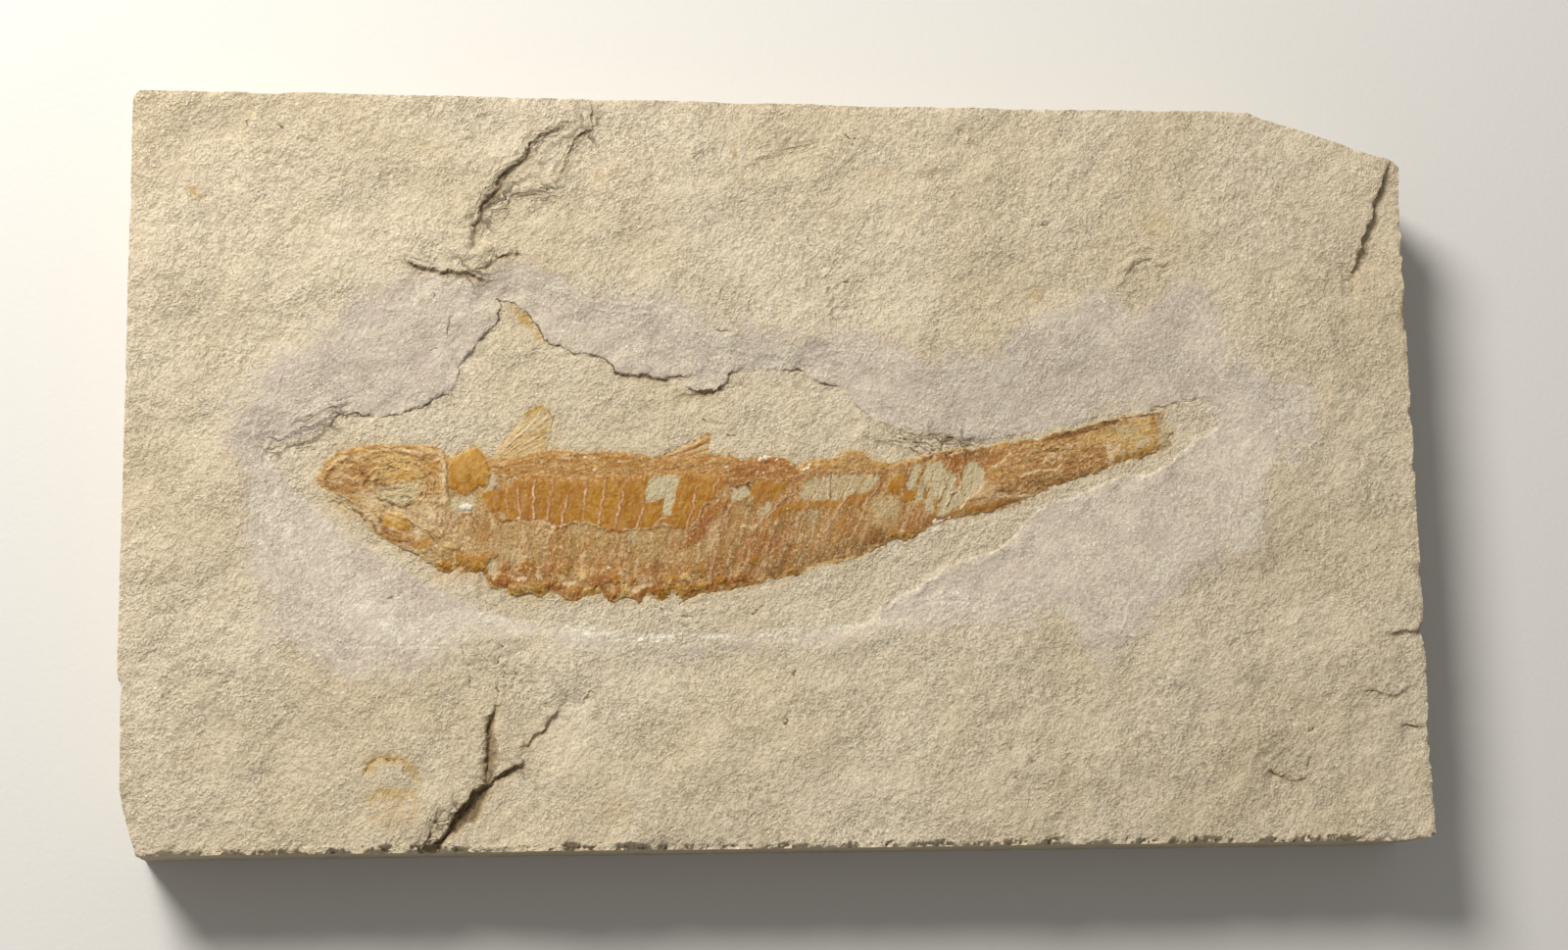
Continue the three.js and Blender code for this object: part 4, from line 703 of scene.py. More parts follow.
class Shader:
    """A material's nodes, built by short calls. Inputs may be numbers, colours or sockets."""

    def __init__(self, name):
        self.material = bpy.data.materials.new(name)
        self.material.use_nodes = True
        self.tree = self.material.node_tree
        self.principled = self.tree.nodes["Principled BSDF"]
        geometry = self.tree.nodes.new("ShaderNodeTexCoord")
        scale = self.tree.nodes.new("ShaderNodeVectorMath")
        scale.operation = "SCALE"
        scale.inputs["Scale"].default_value = 1 / METRES
        self.tree.links.new(geometry.outputs["Object"], scale.inputs[0])
        self.place = scale.outputs[0]

    def give(self, socket, value):
        if isinstance(value, bpy.types.NodeSocket):
            self.tree.links.new(value, socket)
        elif isinstance(value, tuple) and len(value) == 3 and socket.type == "RGBA":
            socket.default_value = (*value, 1)
        else:
            socket.default_value = value

    def mask(self, name):
        """A number that the mesh carries at each point."""
        node = self.tree.nodes.new("ShaderNodeAttribute")
        node.attribute_name = name
        return node.outputs["Fac"]

    def math(self, operation, a, b=0.0, c=0.0, clamp=False):
        node = self.tree.nodes.new("ShaderNodeMath")
        node.operation = operation
        node.use_clamp = clamp
        for socket, value in zip(node.inputs, (a, b, c)):
            self.give(socket, value)
        return node.outputs[0]

    def vector(self, x, y, z=0.0):
        node = self.tree.nodes.new("ShaderNodeCombineXYZ")
        for socket, value in zip(node.inputs, (x, y, z)):
            self.give(socket, value)
        return node.outputs[0]

    def plus_scaled(self, colour, factor, before):
        """The colour times a factor, added to the one before."""
        node = self.tree.nodes.new("ShaderNodeVectorMath")
        node.operation = "MULTIPLY_ADD"
        for socket, value in zip(node.inputs, (colour, factor, before)):
            self.give(socket, value)
        return node.outputs[0]

    def stretched(self, turn_deg, stretch):
        """Place in millimetres, squeezed so that textures come out longer in one direction."""
        node = self.tree.nodes.new("ShaderNodeMapping")
        node.vector_type = "TEXTURE"
        node.inputs["Rotation"].default_value = (0, 0, math.radians(turn_deg))
        node.inputs["Scale"].default_value = (stretch, 1, 1)
        self.give(node.inputs["Vector"], self.place)
        return node.outputs[0]

    def noise(self, size, place=None, detail=2.0, roughness=0.5):
        """Cloudy noise with features of that size in millimetres, from 0 to 1."""
        node = self.tree.nodes.new("ShaderNodeTexNoise")
        node.inputs["Scale"].default_value = 1 / size
        node.inputs["Detail"].default_value = detail
        node.inputs["Roughness"].default_value = roughness
        self.give(node.inputs["Vector"], self.place if place is None else place)
        return node.outputs[0]

    def ramp(self, value, low, high, to_low=0.0, to_high=1.0):
        """Maps low..high smoothly to to_low..to_high."""
        node = self.tree.nodes.new("ShaderNodeMapRange")
        node.interpolation_type = "SMOOTHSTEP"
        for name, number in (
            ("From Min", low), ("From Max", high), ("To Min", to_low), ("To Max", to_high),
        ):
            self.give(node.inputs[name], number)
        self.give(node.inputs["Value"], value)
        return node.outputs[0]

    def mix(self, factor, a, b):
        node = self.tree.nodes.new("ShaderNodeMix")
        node.data_type = "RGBA"
        self.give(node.inputs[0], factor)
        self.give(node.inputs[6], a)
        self.give(node.inputs[7], b)
        return node.outputs[2]

    def bump(self, height, depth, before=None):
        """Bumps whose height of 1 stands `depth` millimetres."""
        node = self.tree.nodes.new("ShaderNodeBump")
        node.inputs["Strength"].default_value = 1
        node.inputs["Distance"].default_value = depth * METRES
        self.give(node.inputs["Height"], height)
        if before is not None:
            self.give(node.inputs["Normal"], before)
        return node.outputs[0]

    def finish(self, colour, roughness, normal, specular):
        self.give(self.principled.inputs["Base Color"], colour)
        self.give(self.principled.inputs["Roughness"], roughness)
        self.give(self.principled.inputs["Normal"], normal)
        self.principled.inputs["Specular IOR Level"].default_value = specular
        return self.material


def srgb(red, green, blue):
    """A colour as seen on a screen, 0 to 255, turned into the shader's linear numbers."""
    def linear(value):
        value /= 255
        return value / 12.92 if value <= 0.04045 else ((value + 0.055) / 1.055) ** 2.4
    return tuple(linear(value) for value in (red, green, blue))


# The slab's surface

Break = namedtuple("Break", "line drop reach low crumple", defaults=(0,))
# Steps where the split jumped from one layer to another: drop is the step's height, reach how
# far the low side takes to come back, low the side of the line, as listed, that is lower, and
# crumple how much the stone beside it is torn into ledges
BREAKS = [
    # from the back edge down towards the head
    Break([(-22, 36.7), (-23.5, 36.2), (-25.5, 35.1), (-26.5, 34), (-27, 32.7), (-28.5, 31.6),
           (-29.8, 30.4), (-30.2, 29), (-31, 28), (-31.8, 26.5), (-32.3, 25), (-32.8, 23)],
          0.33, 5, "left", 1),
    Break([(-20.3, 38.9), (-20.2, 36), (-21.5, 35), (-22.5, 33.5), (-23.5, 31.5), (-23.8, 30)],
          0.35, 4, "left", 0.6),
    Break([(-31.5, 26.5), (-29.5, 27.5), (-28, 28.3), (-26, 28.7), (-23, 29.2)], 0.25, 3, "right", 1),
    Break([(-39.5, 21.2), (-37, 20.7), (-35, 20.4), (-33.5, 20.3), (-32, 19.7), (-31, 19.6),
           (-30, 19.9)], 0.45, 3, "right", 0.6),
    Break([(-33.5, 19.3), (-34.5, 17.8), (-34.8, 16), (-35.2, 13.5)], 0.15, 2, "left"),
    Break([(-32.5, 20.5), (-30, 21.5), (-28.5, 22.5), (-27, 22.2)], 0.3, 3, "right"),
    # the sliver at the right-hand edge
    Break([(66.3, 33.8), (65.4, 32.2), (64.8, 30.5), (64.2, 29), (63.9, 27.3), (63.2, 26),
           (62.8, 25.2), (62.4, 23.8), (61.7, 22.5), (61, 21.1)], 0.7, 5, "left"),
    # the broken edge below the head, its branch and its tail
    Break([(-38, -39), (-36.7, -38.2), (-35, -37.2), (-34.4, -35.4), (-33.4, -34.4), (-32.5, -33),
           (-31.6, -32.2), (-30.6, -31.9), (-29.5, -31.2), (-28.2, -30.5), (-26.8, -29.8),
           (-26.1, -29.1)], 0.62, 7, "right", 0.3),
    Break([(-36.9, -38.5), (-35.2, -37.6), (-33.8, -36.6), (-33.3, -36.4)], 0.45, 6, "right"),
    Break([(-33, -36.2), (-32.6, -35.6), (-32, -34.4), (-31.2, -33), (-30.2, -32), (-28.6, -31)],
          0.45, 6, "right", 0.3),
    Break([(-31.2, -32.2), (-31.1, -29), (-30.9, -27), (-30.6, -25.4), (-30.1, -24.3),
           (-29.3, -24.3)], 0.4, 0.9, "right"),
    Break([(-28.2, -28.6), (-27, -28.2), (-26.2, -27.4), (-25.2, -26.6), (-24.3, -25.2),
           (-23.9, -24.6)], 0.35, 4, "right"),
    Break([(-23.6, -24.4), (-22.7, -23.6), (-22, -23.2), (-21, -23.1)], 0.16, 1, "right"),
    Break([(-22.6, -24.1), (-21.4, -23.8), (-20.8, -22.8), (-19.8, -23)], 0.2, 1, "right"),
    # above the fish
    Break([(-11.7, 8.2), (-10.5, 7.9), (-8.5, 7.9), (-7.3, 8.2)], 0.4, 2, "right"),
    Break([(6, 5.8), (8, 5.2)], 0.2, 2, "right"),
    Break([(7.7, 3.7), (8.8, 3.3), (10, 2.9), (11.5, 2.6), (13, 2.3), (14.2, 1.7), (14.9, 1.1)],
          0.25, 1.5, "right"),
    Break([(10.3, 4.3), (11.5, 4.1), (13, 3.9), (15, 3.8), (17, 3.7), (18.5, 3.2), (19.5, 3)],
          0.2, 1.2, "right"),
    Break([(1, 3.9), (1.8, 4.8), (3, 5.3)], 0.15, 1.5, "right"),
    Break([(-18.2, 10.1), (-16, 9.9), (-13, 9.4), (-11.5, 9.8), (-10.2, 9.8), (-9, 9.7)],
          0.35, 1, "right"),
    # crumpled stone before the snout
    Break([(-54.3, 1.2), (-52.4, 2), (-50.4, 2.5), (-48.6, 3.4), (-47, 4.6), (-45.6, 5.4)],
          0.08, 0.6, "right", 0.5),
    Break([(-53.6, 3.2), (-51.6, 3.6), (-50, 4.2), (-48.3, 4.9), (-46.5, 5.9), (-44.5, 6.3)],
          0.08, 0.7, "right", 0.5),
    Break([(-51, 1.6), (-49.5, 2), (-48, 2.7), (-46.8, 3.6)], 0.07, 0.6, "right", 0.4),
    Break([(-53.9, 3), (-53.4, 2.2), (-53, 1)], 0.25, 0.5, "right"),
    # further lines of the broken edge below the head
    Break([(-36.3, -36), (-35.2, -35.6), (-34.6, -35), (-33.6, -34.8)], 0.2, 1, "right", 0.5),
    Break([(-37.8, -39), (-37, -37.5), (-36.4, -36), (-36, -34.8), (-35.5, -34.5)], 0.25, 2,
          "right", 0.5),
    Break([(-36.8, -37.3), (-35.6, -37.4)], 0.1, 0.8, "right"),
    # low ridges
    Break([(-20.5, 35.8), (-18.2, 36.2)], 0.15, 1, "right"),
    Break([(-3.5, 32.3), (-2, 33), (1, 34.3), (4.5, 35.1)], 0.14, 2, "right", 0.4),
    Break([(-9.8, 32.7), (-8, 34)], 0.1, 1.5, "right"),
    Break([(4.8, 15), (5, 17), (4.5, 19), (6, 19.8), (8.5, 20.1)], 0.14, 1.5, "right", 0.2),
    Break([(36, 20), (36.4, 21.2), (37.5, 22.4), (39, 22.7), (40.4, 22), (41.5, 22.6)], 0.12, 1.2,
          "right", 0.6),
    Break([(46, -18.5), (47.5, -17.3), (50, -16.8)], 0.06, 1.5, "right"),
    Break([(61, 21.1), (61.3, 20), (61.6, 19)], 0.2, 2, "left"),
    Break([(10.5, 3.4), (13, 3.5), (15.5, 2.9), (17.5, 2.9)], 0.06, 0.5, "right", 0.3),
    Break([(14.5, 4), (16, 3.4), (17.6, 3.4), (18.6, 3), (19.8, 2.6)], 0.2, 0.7, "right", 0.55),
    Break([(16.4, 2.9), (18, 2.6), (18.8, 3.3), (19.9, 3.4)], 0.15, 0.5, "right", 0.55),
    Break([(13.2, 3.1), (14.6, 2.5), (15.2, 2)], 0.15, 0.5, "right", 0.4),
    Break([(23.3, 3.1), (23.6, 3.8), (24.4, 3.7)], 0.12, 0.5, "right"),
    # small flakes on the right-hand part
    Break([(49.3, -31.6), (50.5, -32), (52, -32.4), (53.8, -32.4)], 0.3, 3, "right"),
    Break([(53.9, -32), (54, -30)], 0.2, 2, "right"),
    Break([(60, -23.3), (61.5, -23.3), (62.5, -23.8), (64, -23.9), (64.8, -22.8)], 0.2, 2.5, "right"),
    Break([(63.2, -17.3), (64.5, -17), (66.2, -17.1), (67, -16)], 0.35, 3, "right"),
    Break([(64, -27), (66.8, -27)], 0.25, 2, "right"),
    Break([(-55, 39), (-55, 37), (-55.7, 36), (-55.5, 34)], 0.25, 3, "right"),
]
# Hairline cracks: a thin dark line of painted shade, hardly any step
HAIRLINES = [
    [(-14.3, -14.4), (-12.5, -14.7), (-11, -13.8)], [(-12, -15.1), (-9.6, -15.2), (-8.3, -15)],
    [(-4, -15.4), (-2.5, -13.7)], [(0.3, -20.8), (0.4, -21.7)], [(-0.6, -25.2), (-0.9, -26.3)],
    [(-37, 12.1), (-35.5, 12.4), (-34.5, 13.2)], [(-7, 8.2), (-5, 8.9), (-3, 8.6)],
    [(-30, -24), (-29.7, -18.2)], [(-33.5, -18.5), (-32.5, -22.5)],
    [(-52.3, 35.6), (-50.4, 34.1)], [(-7.7, 14.8), (-5.4, 14.3)], [(6.5, 35.8), (7.8, 35.3)],
    [(27, 26), (28.5, 26.5)], [(53.9, -27.8), (54.8, -27.1)], [(-28, -20), (-26.5, -20.6)],
    [(38.3, 6.3), (39.9, 6.7), (42.1, 7.3), (45, 7.9)], [(-9.4, 5.3), (-6.8, 4.8)],
    [(-6.4, 3.7), (-5.3, 3.6)], [(-41, -13.5), (-39.6, -13)], [(11, 3.5), (12.6, 3.2), (14.2, 3.3)],
    [(13, 2.9), (14.8, 2.6), (16, 2.6)], [(15.9, 3.3), (17.2, 3.1), (18.3, 2.8), (19.6, 2.4)],
    [(15.4, 2.3), (14.9, 1.6)], [(11.4, -7.6), (12.6, -8.2)], [(-29.3, -20.5), (-29.1, -24.2)],
    [(-28.2, -20.8), (-28.4, -23)], [(-36.2, -36.1), (-35, -35.7), (-34.3, -35.3)],
    [(-36.8, -37.3), (-35.6, -37.5), (-34.6, -36.4), (-34.2, -35.6)],
    [(-43.3, -31.2), (-42.7, -30.1), (-41.6, -29.6), (-40, -29.6)],
    [(-57.5, -22.5), (-55.8, -21.2)], [(-46, 5), (-44, 5.3), (-42.5, 5.2)],
    [(10.7, -10.3), (11.6, -9.3), (12.6, -9)],
    [(15.5, -7.9), (16.1, -7), (16.2, -6.6)], [(-30.4, 23.3), (-31, 21)], [(-36.3, 18.3), (-37, 16.5)],
]
PITS = [  # small dents, darkened with painted shade: (x, y, radius)
    (-1.1, 26.5, 0.35), (-2.3, 21.2, 0.3), (23.5, 32.7, 0.4), (16.7, -24.7, 0.35),
    (-44.7, 12.8, 0.2), (-34.5, 6.4, 0.25), (-61.6, 16.5, 0.25), (-64, -11.5, 0.25),
    (42.9, -31, 0.3), (56.3, 12.7, 0.2), (57.6, 9.9, 0.2), (-29.9, 10.4, 0.3), (22.5, -29, 0.35),
    (24.5, -30.5, 0.35), (23, -32, 0.3), (25.5, -28.4, 0.3), (27, 8, 0.25), (41, -2.2, 0.2),
]
# Places where the split is crumpled: (x, y, radius, height)
CRUMPLES = [
    (-29.5, 25, 4.5, 0.4), (-24.5, 31.5, 3, 0.25), (-31, 20.5, 3, 0.3), (-46.5, 4, 2.5, 0.2),
    (10, 4, 3, 0.25), (19, 4.2, 3, 0.35), (38.5, 21.5, 3.5, 0.3), (0.5, 34, 4, 0.2),
    (52, -30, 3.5, 0.15), (64, -22, 3, 0.2), (-53.5, 37, 2.5, 0.25), (-20, -23.5, 3, 0.2),
    (-9, 15, 2.5, 0.2), (6, 18, 2.5, 0.2), (-32, -21, 3, 0.15), (29, 27, 3, 0.15),
    (47.5, -17.5, 3, 0.15), (16, 29, 5, 0.12), (-58, 16, 5, 0.1), (28, -27, 5, 0.12),
]
# Brown facets laid bare by the breaks, darkened as partly iron staining and partly painted shade for
# their place in the step's shadow: how dark each is, and its outline
FACETS = [
    (1, [(-35.3, -37.5), (-34.5, -35.6), (-33.4, -34.3), (-32.5, -33), (-31.5, -32.2),
         (-30.4, -32.2), (-31, -33.2), (-31.6, -34.6), (-32.4, -35.9), (-33.7, -36.8)]),
    (0.9, [(-38, -39), (-37, -38.2), (-35.4, -37.5), (-34.6, -37), (-36.2, -39)]),
    (0.45, [(-26.5, 34), (-28.5, 31.8), (-29.9, 30.4), (-31.3, 28), (-32.6, 25), (-33, 22.8),
            (-32.2, 22.8), (-31.4, 25.5), (-30.3, 27.6), (-29, 29.8), (-27.6, 31.6), (-26, 33)]),
    (0.9, [(-31.5, -32), (-31.4, -29.5), (-31.2, -27.5), (-30.9, -25.4), (-30.4, -24.8),
           (-30.2, -28), (-30.1, -30.2), (-30.4, -32)]),
    (0.5, [(-29.6, -31.3), (-28.3, -30.6), (-27.4, -30.1), (-27.2, -30.5), (-28.4, -31),
           (-29.4, -31.7)]),
]
# Powdery white where the scraper bruised the stone, partly a painted highlight on the lit lip of the
# southern ledge: (x, y, long and short radius, turn, strength)
CHALK_AND_HIGHLIGHTS = [
    (-49, -8, 6, 3, 115, 0.15), (-45, -12.5, 6, 3, 125, 0.3), (-38.5, -16.2, 6, 2.5, 155, 0.3),
    (-41, -16.6, 3.2, 0.4, 140, 0.7), (-44.5, -13.4, 3, 0.35, 125, 0.6), (-48, -5.2, 3, 0.5, 130, 0.5),
    (-46.5, -9.6, 3, 0.4, 120, 0.5), (-38.5, -15, 2.5, 0.3, 150, 0.5), (-30, -15.5, 6, 0.3, -6, 0.6),
    (-31, -17.2, 5, 0.25, 4, 0.5), (-35, -18, 3, 0.3, 150, 0.6), (-21, -17.3, 5, 0.25, -8, 0.4),
    (-14, -17.9, 3, 0.2, 4, 0.3), (50, 9, 3, 1.5, 60, 0.3), (-52, -3.5, 4, 0.4, 95, 0.5),
    (-50.5, -7.5, 4, 0.35, 112, 0.5), (15.3, -6.1, 0.7, 0.3, 12, 1.6), (16.8, -5.6, 0.8, 0.2, 20, 1),
    (22, -4.8, 4.5, 0.4, 14, 0.7), (26.8, -4.2, 1, 0.6, 60, 0.6), (-14, -17.5, 3.5, 0.45, 1, 2),
    (-8, -17.3, 3, 0.35, -2, 1.6), (-1, -16.9, 5, 0.3, 4, 1.2), (6, -16.5, 3, 0.3, 8, 1),
    (-20.5, -16.8, 3.5, 0.4, -10, 1.5), (-2.5, -12.2, 0.8, 0.2, 8, 1), (3, -10.6, 0.9, 0.2, 14, 1),
    (10.8, -8, 0.8, 0.25, 30, 1),
]
# Rusty and yellowish stains, and at (35, 6.9) a faint blot of painted shade along the groove above the
# tail: (x, y, long and short radius, turn, strength)
STAINS_AND_SHADE = [
    (-61, 28.6, 0.9, 0.5, -40, 1), (-60.2, 27.8, 0.5, 0.4, 0, 0.8), (-5.1, 33.4, 0.45, 0.4, 0, 1),
    (26.5, 18.8, 0.9, 0.9, 0, 0.45), (40, 26.5, 2.5, 1.8, 20, 0.25), (46.5, 25, 1.5, 1, 0, 0.2),
    (-18, -35, 2.2, 2.2, 0, 0.2), (-60, -29, 2, 1.5, 0, 0.15), (-18.5, 31, 1.4, 0.9, 30, 0.2),
    (-40.5, -35.2, 3.2, 2, 8, 0.3), (-38.2, -34.5, 0.6, 2.5, 0, 0.45),
    (-26.9, 15.5, 1.3, 0.6, -50, 1.2), (-28, 16.7, 1.1, 0.4, -30, 1),
    (-25.7, 14, 0.9, 0.5, -55, 1), (-45, -4.7, 2.2, 0.5, -38, 0.6), (-42.6, -7.4, 1.5, 0.4, -45, 0.4),
    (-38, -9.6, 1.2, 0.4, -30, 0.5), (-35.3, -11.2, 1.6, 0.5, -10, 0.5), (-32, -12, 1, 0.4, -20, 0.5),
    (-27, -13.6, 2.5, 0.4, 0, 0.4), (-16, -13.9, 2, 0.4, 0, 0.3), (-10, -13.7, 1.5, 0.4, 5, 0.3),
    (-31, 2.2, 1, 0.9, 50, 0.25), (-24, 3.5, 0.6, 2, 0, 0.25), (6, -9.9, 3, 0.3, 18, 0.3),
    (-37.5, 33.6, 1.5, 1, 0, 0.15), (10, 31, 2, 1.5, 0, 0.15), (24, -3.9, 3, 0.5, 20, 0.3),
    (35, 6.9, 6, 0.8, 12, 0.2), (42, 8.6, 0.7, 0.4, 0, 0.5),
]
# The two arcs of a ring-shaped impression, stained ochre
RING_ARCS = [
    [(-43, -30.8), (-42.6, -30), (-41.5, -29.6), (-40, -29.6), (-39, -30.2), (-38.2, -31.5)],
    [(-42.5, -33.6), (-41.5, -32.9), (-40, -33.3), (-38.8, -33)],
]


def blot(x, y, place):
    """A soft-edged oval: 1 in its middle and 0 beyond its rim."""
    cx, cy, long_radius, short_radius, turn = place
    u, v = along_grain(x - cx, y - cy, turn, 1)
    return 1 - smoothstep(0.35, 1.1, np.hypot(u / long_radius, v / short_radius))


def jagged(x, y):
    """The same points, shaken a little, so that every line drawn with them comes out broken."""
    return (
        x + 0.24 * rough_waves(x, y, 1.6, 11, 4, 0.62),
        y + 0.24 * rough_waves(x, y, 1.6, 21, 4, 0.62),
    )


def hollow(x, y):
    """How far down the hollow a point lies, how scraped it is, how white the lip of the bedding's
    southern ledge is, partly as bruising and partly as a painted highlight where it faces the light, how
    far in from the rim and in the bedding, and how wide the crack at the bedding's edge gapes."""
    from_rim = depth_inside(x, y, HOLLOW_RIM) + 1.2 * waves(x, y, 5, 31)
    in_bedding = depth_inside(x, y, BEDDING_EDGE)
    north = y > read_table(FISH_AXIS, x)
    ledge = np.where(north, read_table(NORTH_LEDGE, x), read_table(SOUTH_LEDGE, x))
    ledge = ledge * np.clip(0.8 + 1.1 * waves(x, y, 2.4, 32), 0.05, 1.8)
    ramp = smoothstep(0, 1, from_rim / np.maximum(from_rim - in_bedding, 1e-6))
    step = smoothstep(-0.12, 0.08, in_bedding)
    share = np.where(from_rim > 0, ramp * (1 - ledge), 0)
    scraped = np.clip(0.5 + from_rim / 3.5, 0, 1.5) * (1 - smoothstep(-0.7, 0.5, in_bedding))
    # a white line along the southern ledge's lip: partly bruised stone, partly a painted highlight where
    # the ledge faces the light
    bruised_and_lit = np.maximum(smoothstep(0.05, 0.3, ledge), 0.8 * smoothstep(-32, -24, x))
    bruise_and_highlight = bruised_and_lit * np.exp(-(((in_bedding + 0.1) / 0.16) ** 2))
    bruise_and_highlight = bruise_and_highlight * np.clip(0.4 + 1.5 * rough_waves(x, y, 2, 33, 3, 0.8), 0, 1)
    uneven = np.clip(0.8 + 1.2 * rough_waves(x, y, 1.8, 37, 3), 0, 1.6)
    gape = north * uneven * read_table(BEDDING_GAPE, x)
    return lerp(share, 1, step), scraped, np.where(north, 0, bruise_and_highlight), from_rim, in_bedding, gape


def breaks(x, y):
    """How far the breaks lower the surface, and for the nearest one the distance across it
    (positive on its low side), the distance along it, its gape and how crumpled it is.
    A further mask shows the steep face of each break, which the shader tints brown as partly iron
    staining and partly painted warm shade."""
    drop = np.zeros_like(x)
    nearest = np.full(x.shape, np.inf)
    across, along, gape, crumpled, riser_stain_and_shade = [np.zeros_like(x) for _ in range(5)]
    for k, (line, height, reach, low, crumple) in enumerate(BREAKS):
        near = near_line(x, y, line)
        side = np.where(near.left == (low == "left"), near.distance, -near.distance)
        share = near.along / near.length
        ends = np.clip(5 * share + 0.2, 0, 1) * np.clip(5 * (1 - share) + 0.2, 0, 1)
        fall = height * ends * smoothstep(-0.12, 0.1, side) * np.exp(-((side / reach) ** 2))
        drop = np.maximum(drop, fall)
        closer = near.distance < nearest
        nearest = np.where(closer, near.distance, nearest)
        uneven = np.clip(0.4 + 1.2 * waves(near.along, 0 * x + 7 * k, 1.3, 35), 0, 1.3)
        # the foot of each step on its low side, tinted brown in the shader as partly iron staining and
        # partly painted warm shade
        face = np.exp(-(((side - 0.35 * height) / (0.08 + 0.45 * height)) ** 2))
        riser_stain_and_shade = np.maximum(riser_stain_and_shade, ends * min(1, 2 * height) * face)
        across = np.where(closer, side, across)
        along = np.where(closer, near.along + 30 * k, along)
        gape = np.where(closer, ends * uneven * min(0.11, 0.03 + 0.14 * height), gape)
        crumpled = np.where(closer, ends * crumple * np.exp(-((side / 1.3) ** 2)), crumpled)
    for line in HAIRLINES:
        near = near_line(x, y, line)
        closer = near.distance < nearest
        nearest = np.where(closer, near.distance, nearest)
        across = np.where(closer, near.distance, across)
        uneven = np.clip(0.6 + waves(near.along, 0 * x, 1.5, 36), 0, 1)
        gape = np.where(closer, 0.07 * uneven, gape)
        drop = drop + 0.1 * np.exp(-((near.distance / 0.12) ** 2))
    masks = {"across": across, "along": along, "gape": gape, "crumpled": crumpled, "riser_stain_and_shade": riser_stain_and_shade}
    return drop, masks


def slab_surface(x, y):
    """Height of the slab's upper face and the masks that colour it."""
    wx, wy = jagged(x, y)
    share, scraped, chalk_and_highlight, from_rim, in_bedding, bedding_gape = hollow(wx, wy)
    drop, masks = breaks(wx, wy)
    closer = (np.abs(in_bedding) < np.abs(masks["across"])) & (bedding_gape > 0.01)
    masks["across"] = np.where(closer, in_bedding, masks["across"])
    masks["gape"] = np.where(closer, bedding_gape, masks["gape"])
    scraping = np.clip(scraped, 0, 1)
    gx, gy = along_grain(x, y, 50, 1.25)
    rough = 1 - 0.65 * scraping
    crumpled = np.zeros_like(x)
    for cx, cy, radius, high in CRUMPLES:
        crumpled += 0.7 * high * np.exp(-((x - cx) ** 2 + (y - cy) ** 2) / radius ** 2)
    grain = (
        0.06 * (lumps(gx, gy, 3.1, 41, 3, 0.65) - 0.5)
        + 0.045 * rough_waves(gx, gy, 0.9, 45, 2)
        + crumpled * (lumps(gx, gy, 2.2, 48, 3, 0.6) - 0.4)
        + 0.16 * waves(gx, gy, 4.5, 49) * smoothstep(-12, -24, y)
        + 0.15 * terraces(rough_waves(wx, wy, 6, 58, 3), 0.5, 0.15)
    )
    swell = 0.17 * rough_waves(x, y, 24, 51, 3)
    layered = swell + 0.35 * terraces(rough_waves(wx, wy, 15, 55, 3), 0.3, 0.12)
    stone = SLAB_THICKNESS - 0.45 + lerp(layered, swell, scraping)
    stone = stone - 0.95 * np.exp(-(((x + 12) / 24) ** 2 + ((y + 18) / 9) ** 2))
    bed = bed_surface(x, y)
    height = lerp(stone, bed, share) - drop * (1 - 0.5 * share) + grain * rough
    height = height - chips(x, y, depth_inside(x, y, SLAB_OUTLINE))
    in_fish = depth_inside(wx, wy, FISH_OUTLINE)
    height = lerp(height, BED_LEVEL - 0.1, smoothstep(0.35, 0.65, in_fish))
    for fin in (FRONT_FIN, BACK_FIN):
        height = lerp(height, BED_LEVEL - 0.05, smoothstep(0, 0.3, depth_inside(x, y, fin)))
    # the dents, which the shader darkens with painted shade
    crack = np.zeros_like(x)
    for px, py, radius in PITS:
        dent = np.exp(-(((wx - px) ** 2 + (wy - py) ** 2) / radius ** 2))
        height = height - 0.8 * radius * dent
        crack = np.maximum(crack, 0.8 * dent)
    stain_and_shade = 0.3 * np.exp(-((in_fish / 0.45) ** 2)) * np.clip(1 + rough_waves(x, y, 1.5, 57, 3), 0, 1.5)
    # the stains, and among them one faint band of painted shade above the tail
    for *place, strength in STAINS_AND_SHADE:
        stain_and_shade = np.maximum(stain_and_shade, strength * blot(wx, wy, place))
    for arc in RING_ARCS:
        ring = np.exp(-((near_line(wx, wy, arc).distance / 0.5) ** 2))
        stain_and_shade = np.maximum(stain_and_shade, 0.9 * ring)
        height = height - 0.1 * ring
    # the facets are lowered, and darkened brown as partly iron staining and partly painted shade
    facet_stain_and_shade = np.zeros_like(x)
    for strength, outline in FACETS:
        inside = smoothstep(-0.12, 0.15, depth_inside(wx, wy, outline))
        facet_stain_and_shade = np.maximum(facet_stain_and_shade, strength * inside)
        height = height - 0.3 * strength * inside
    # powdery white, which along the southern ledge is partly a painted highlight on its lit lip
    for *place, strength in CHALK_AND_HIGHLIGHTS:
        chalk_and_highlight = np.maximum(chalk_and_highlight, strength * blot(wx, wy, place))
    masks |= {"scraped": scraped, "chalk_and_highlight": chalk_and_highlight, "stain_and_shade": stain_and_shade, "crack": crack}
    masks |= {"rim": from_rim, "facet_stain_and_shade": facet_stain_and_shade}
    return height, masks


def chips(x, y, edge):
    """How deep the chips along the slab's upper edge are, `edge` millimetres in from it."""
    front = smoothstep(-37.5, -38.6, y)
    right = smoothstep(65.8, 66.9, x)
    much = 0.25 + 0.75 * np.maximum(front, 0.08 * right)
    much = much * np.clip(0.95 + 0.9 * waves(x, y, 7, 65) + 0.15 * smoothstep(0, 50, x), 0.5, 1.3)
    size = np.clip(0.45 + 1.1 * rough_waves(x, y, 2, 61, 4, 0.75), 0, 1.4) * much
    return 0.85 * size * np.clip(1 - edge / (0.25 + 0.5 * size), 0, 1) ** 1.2


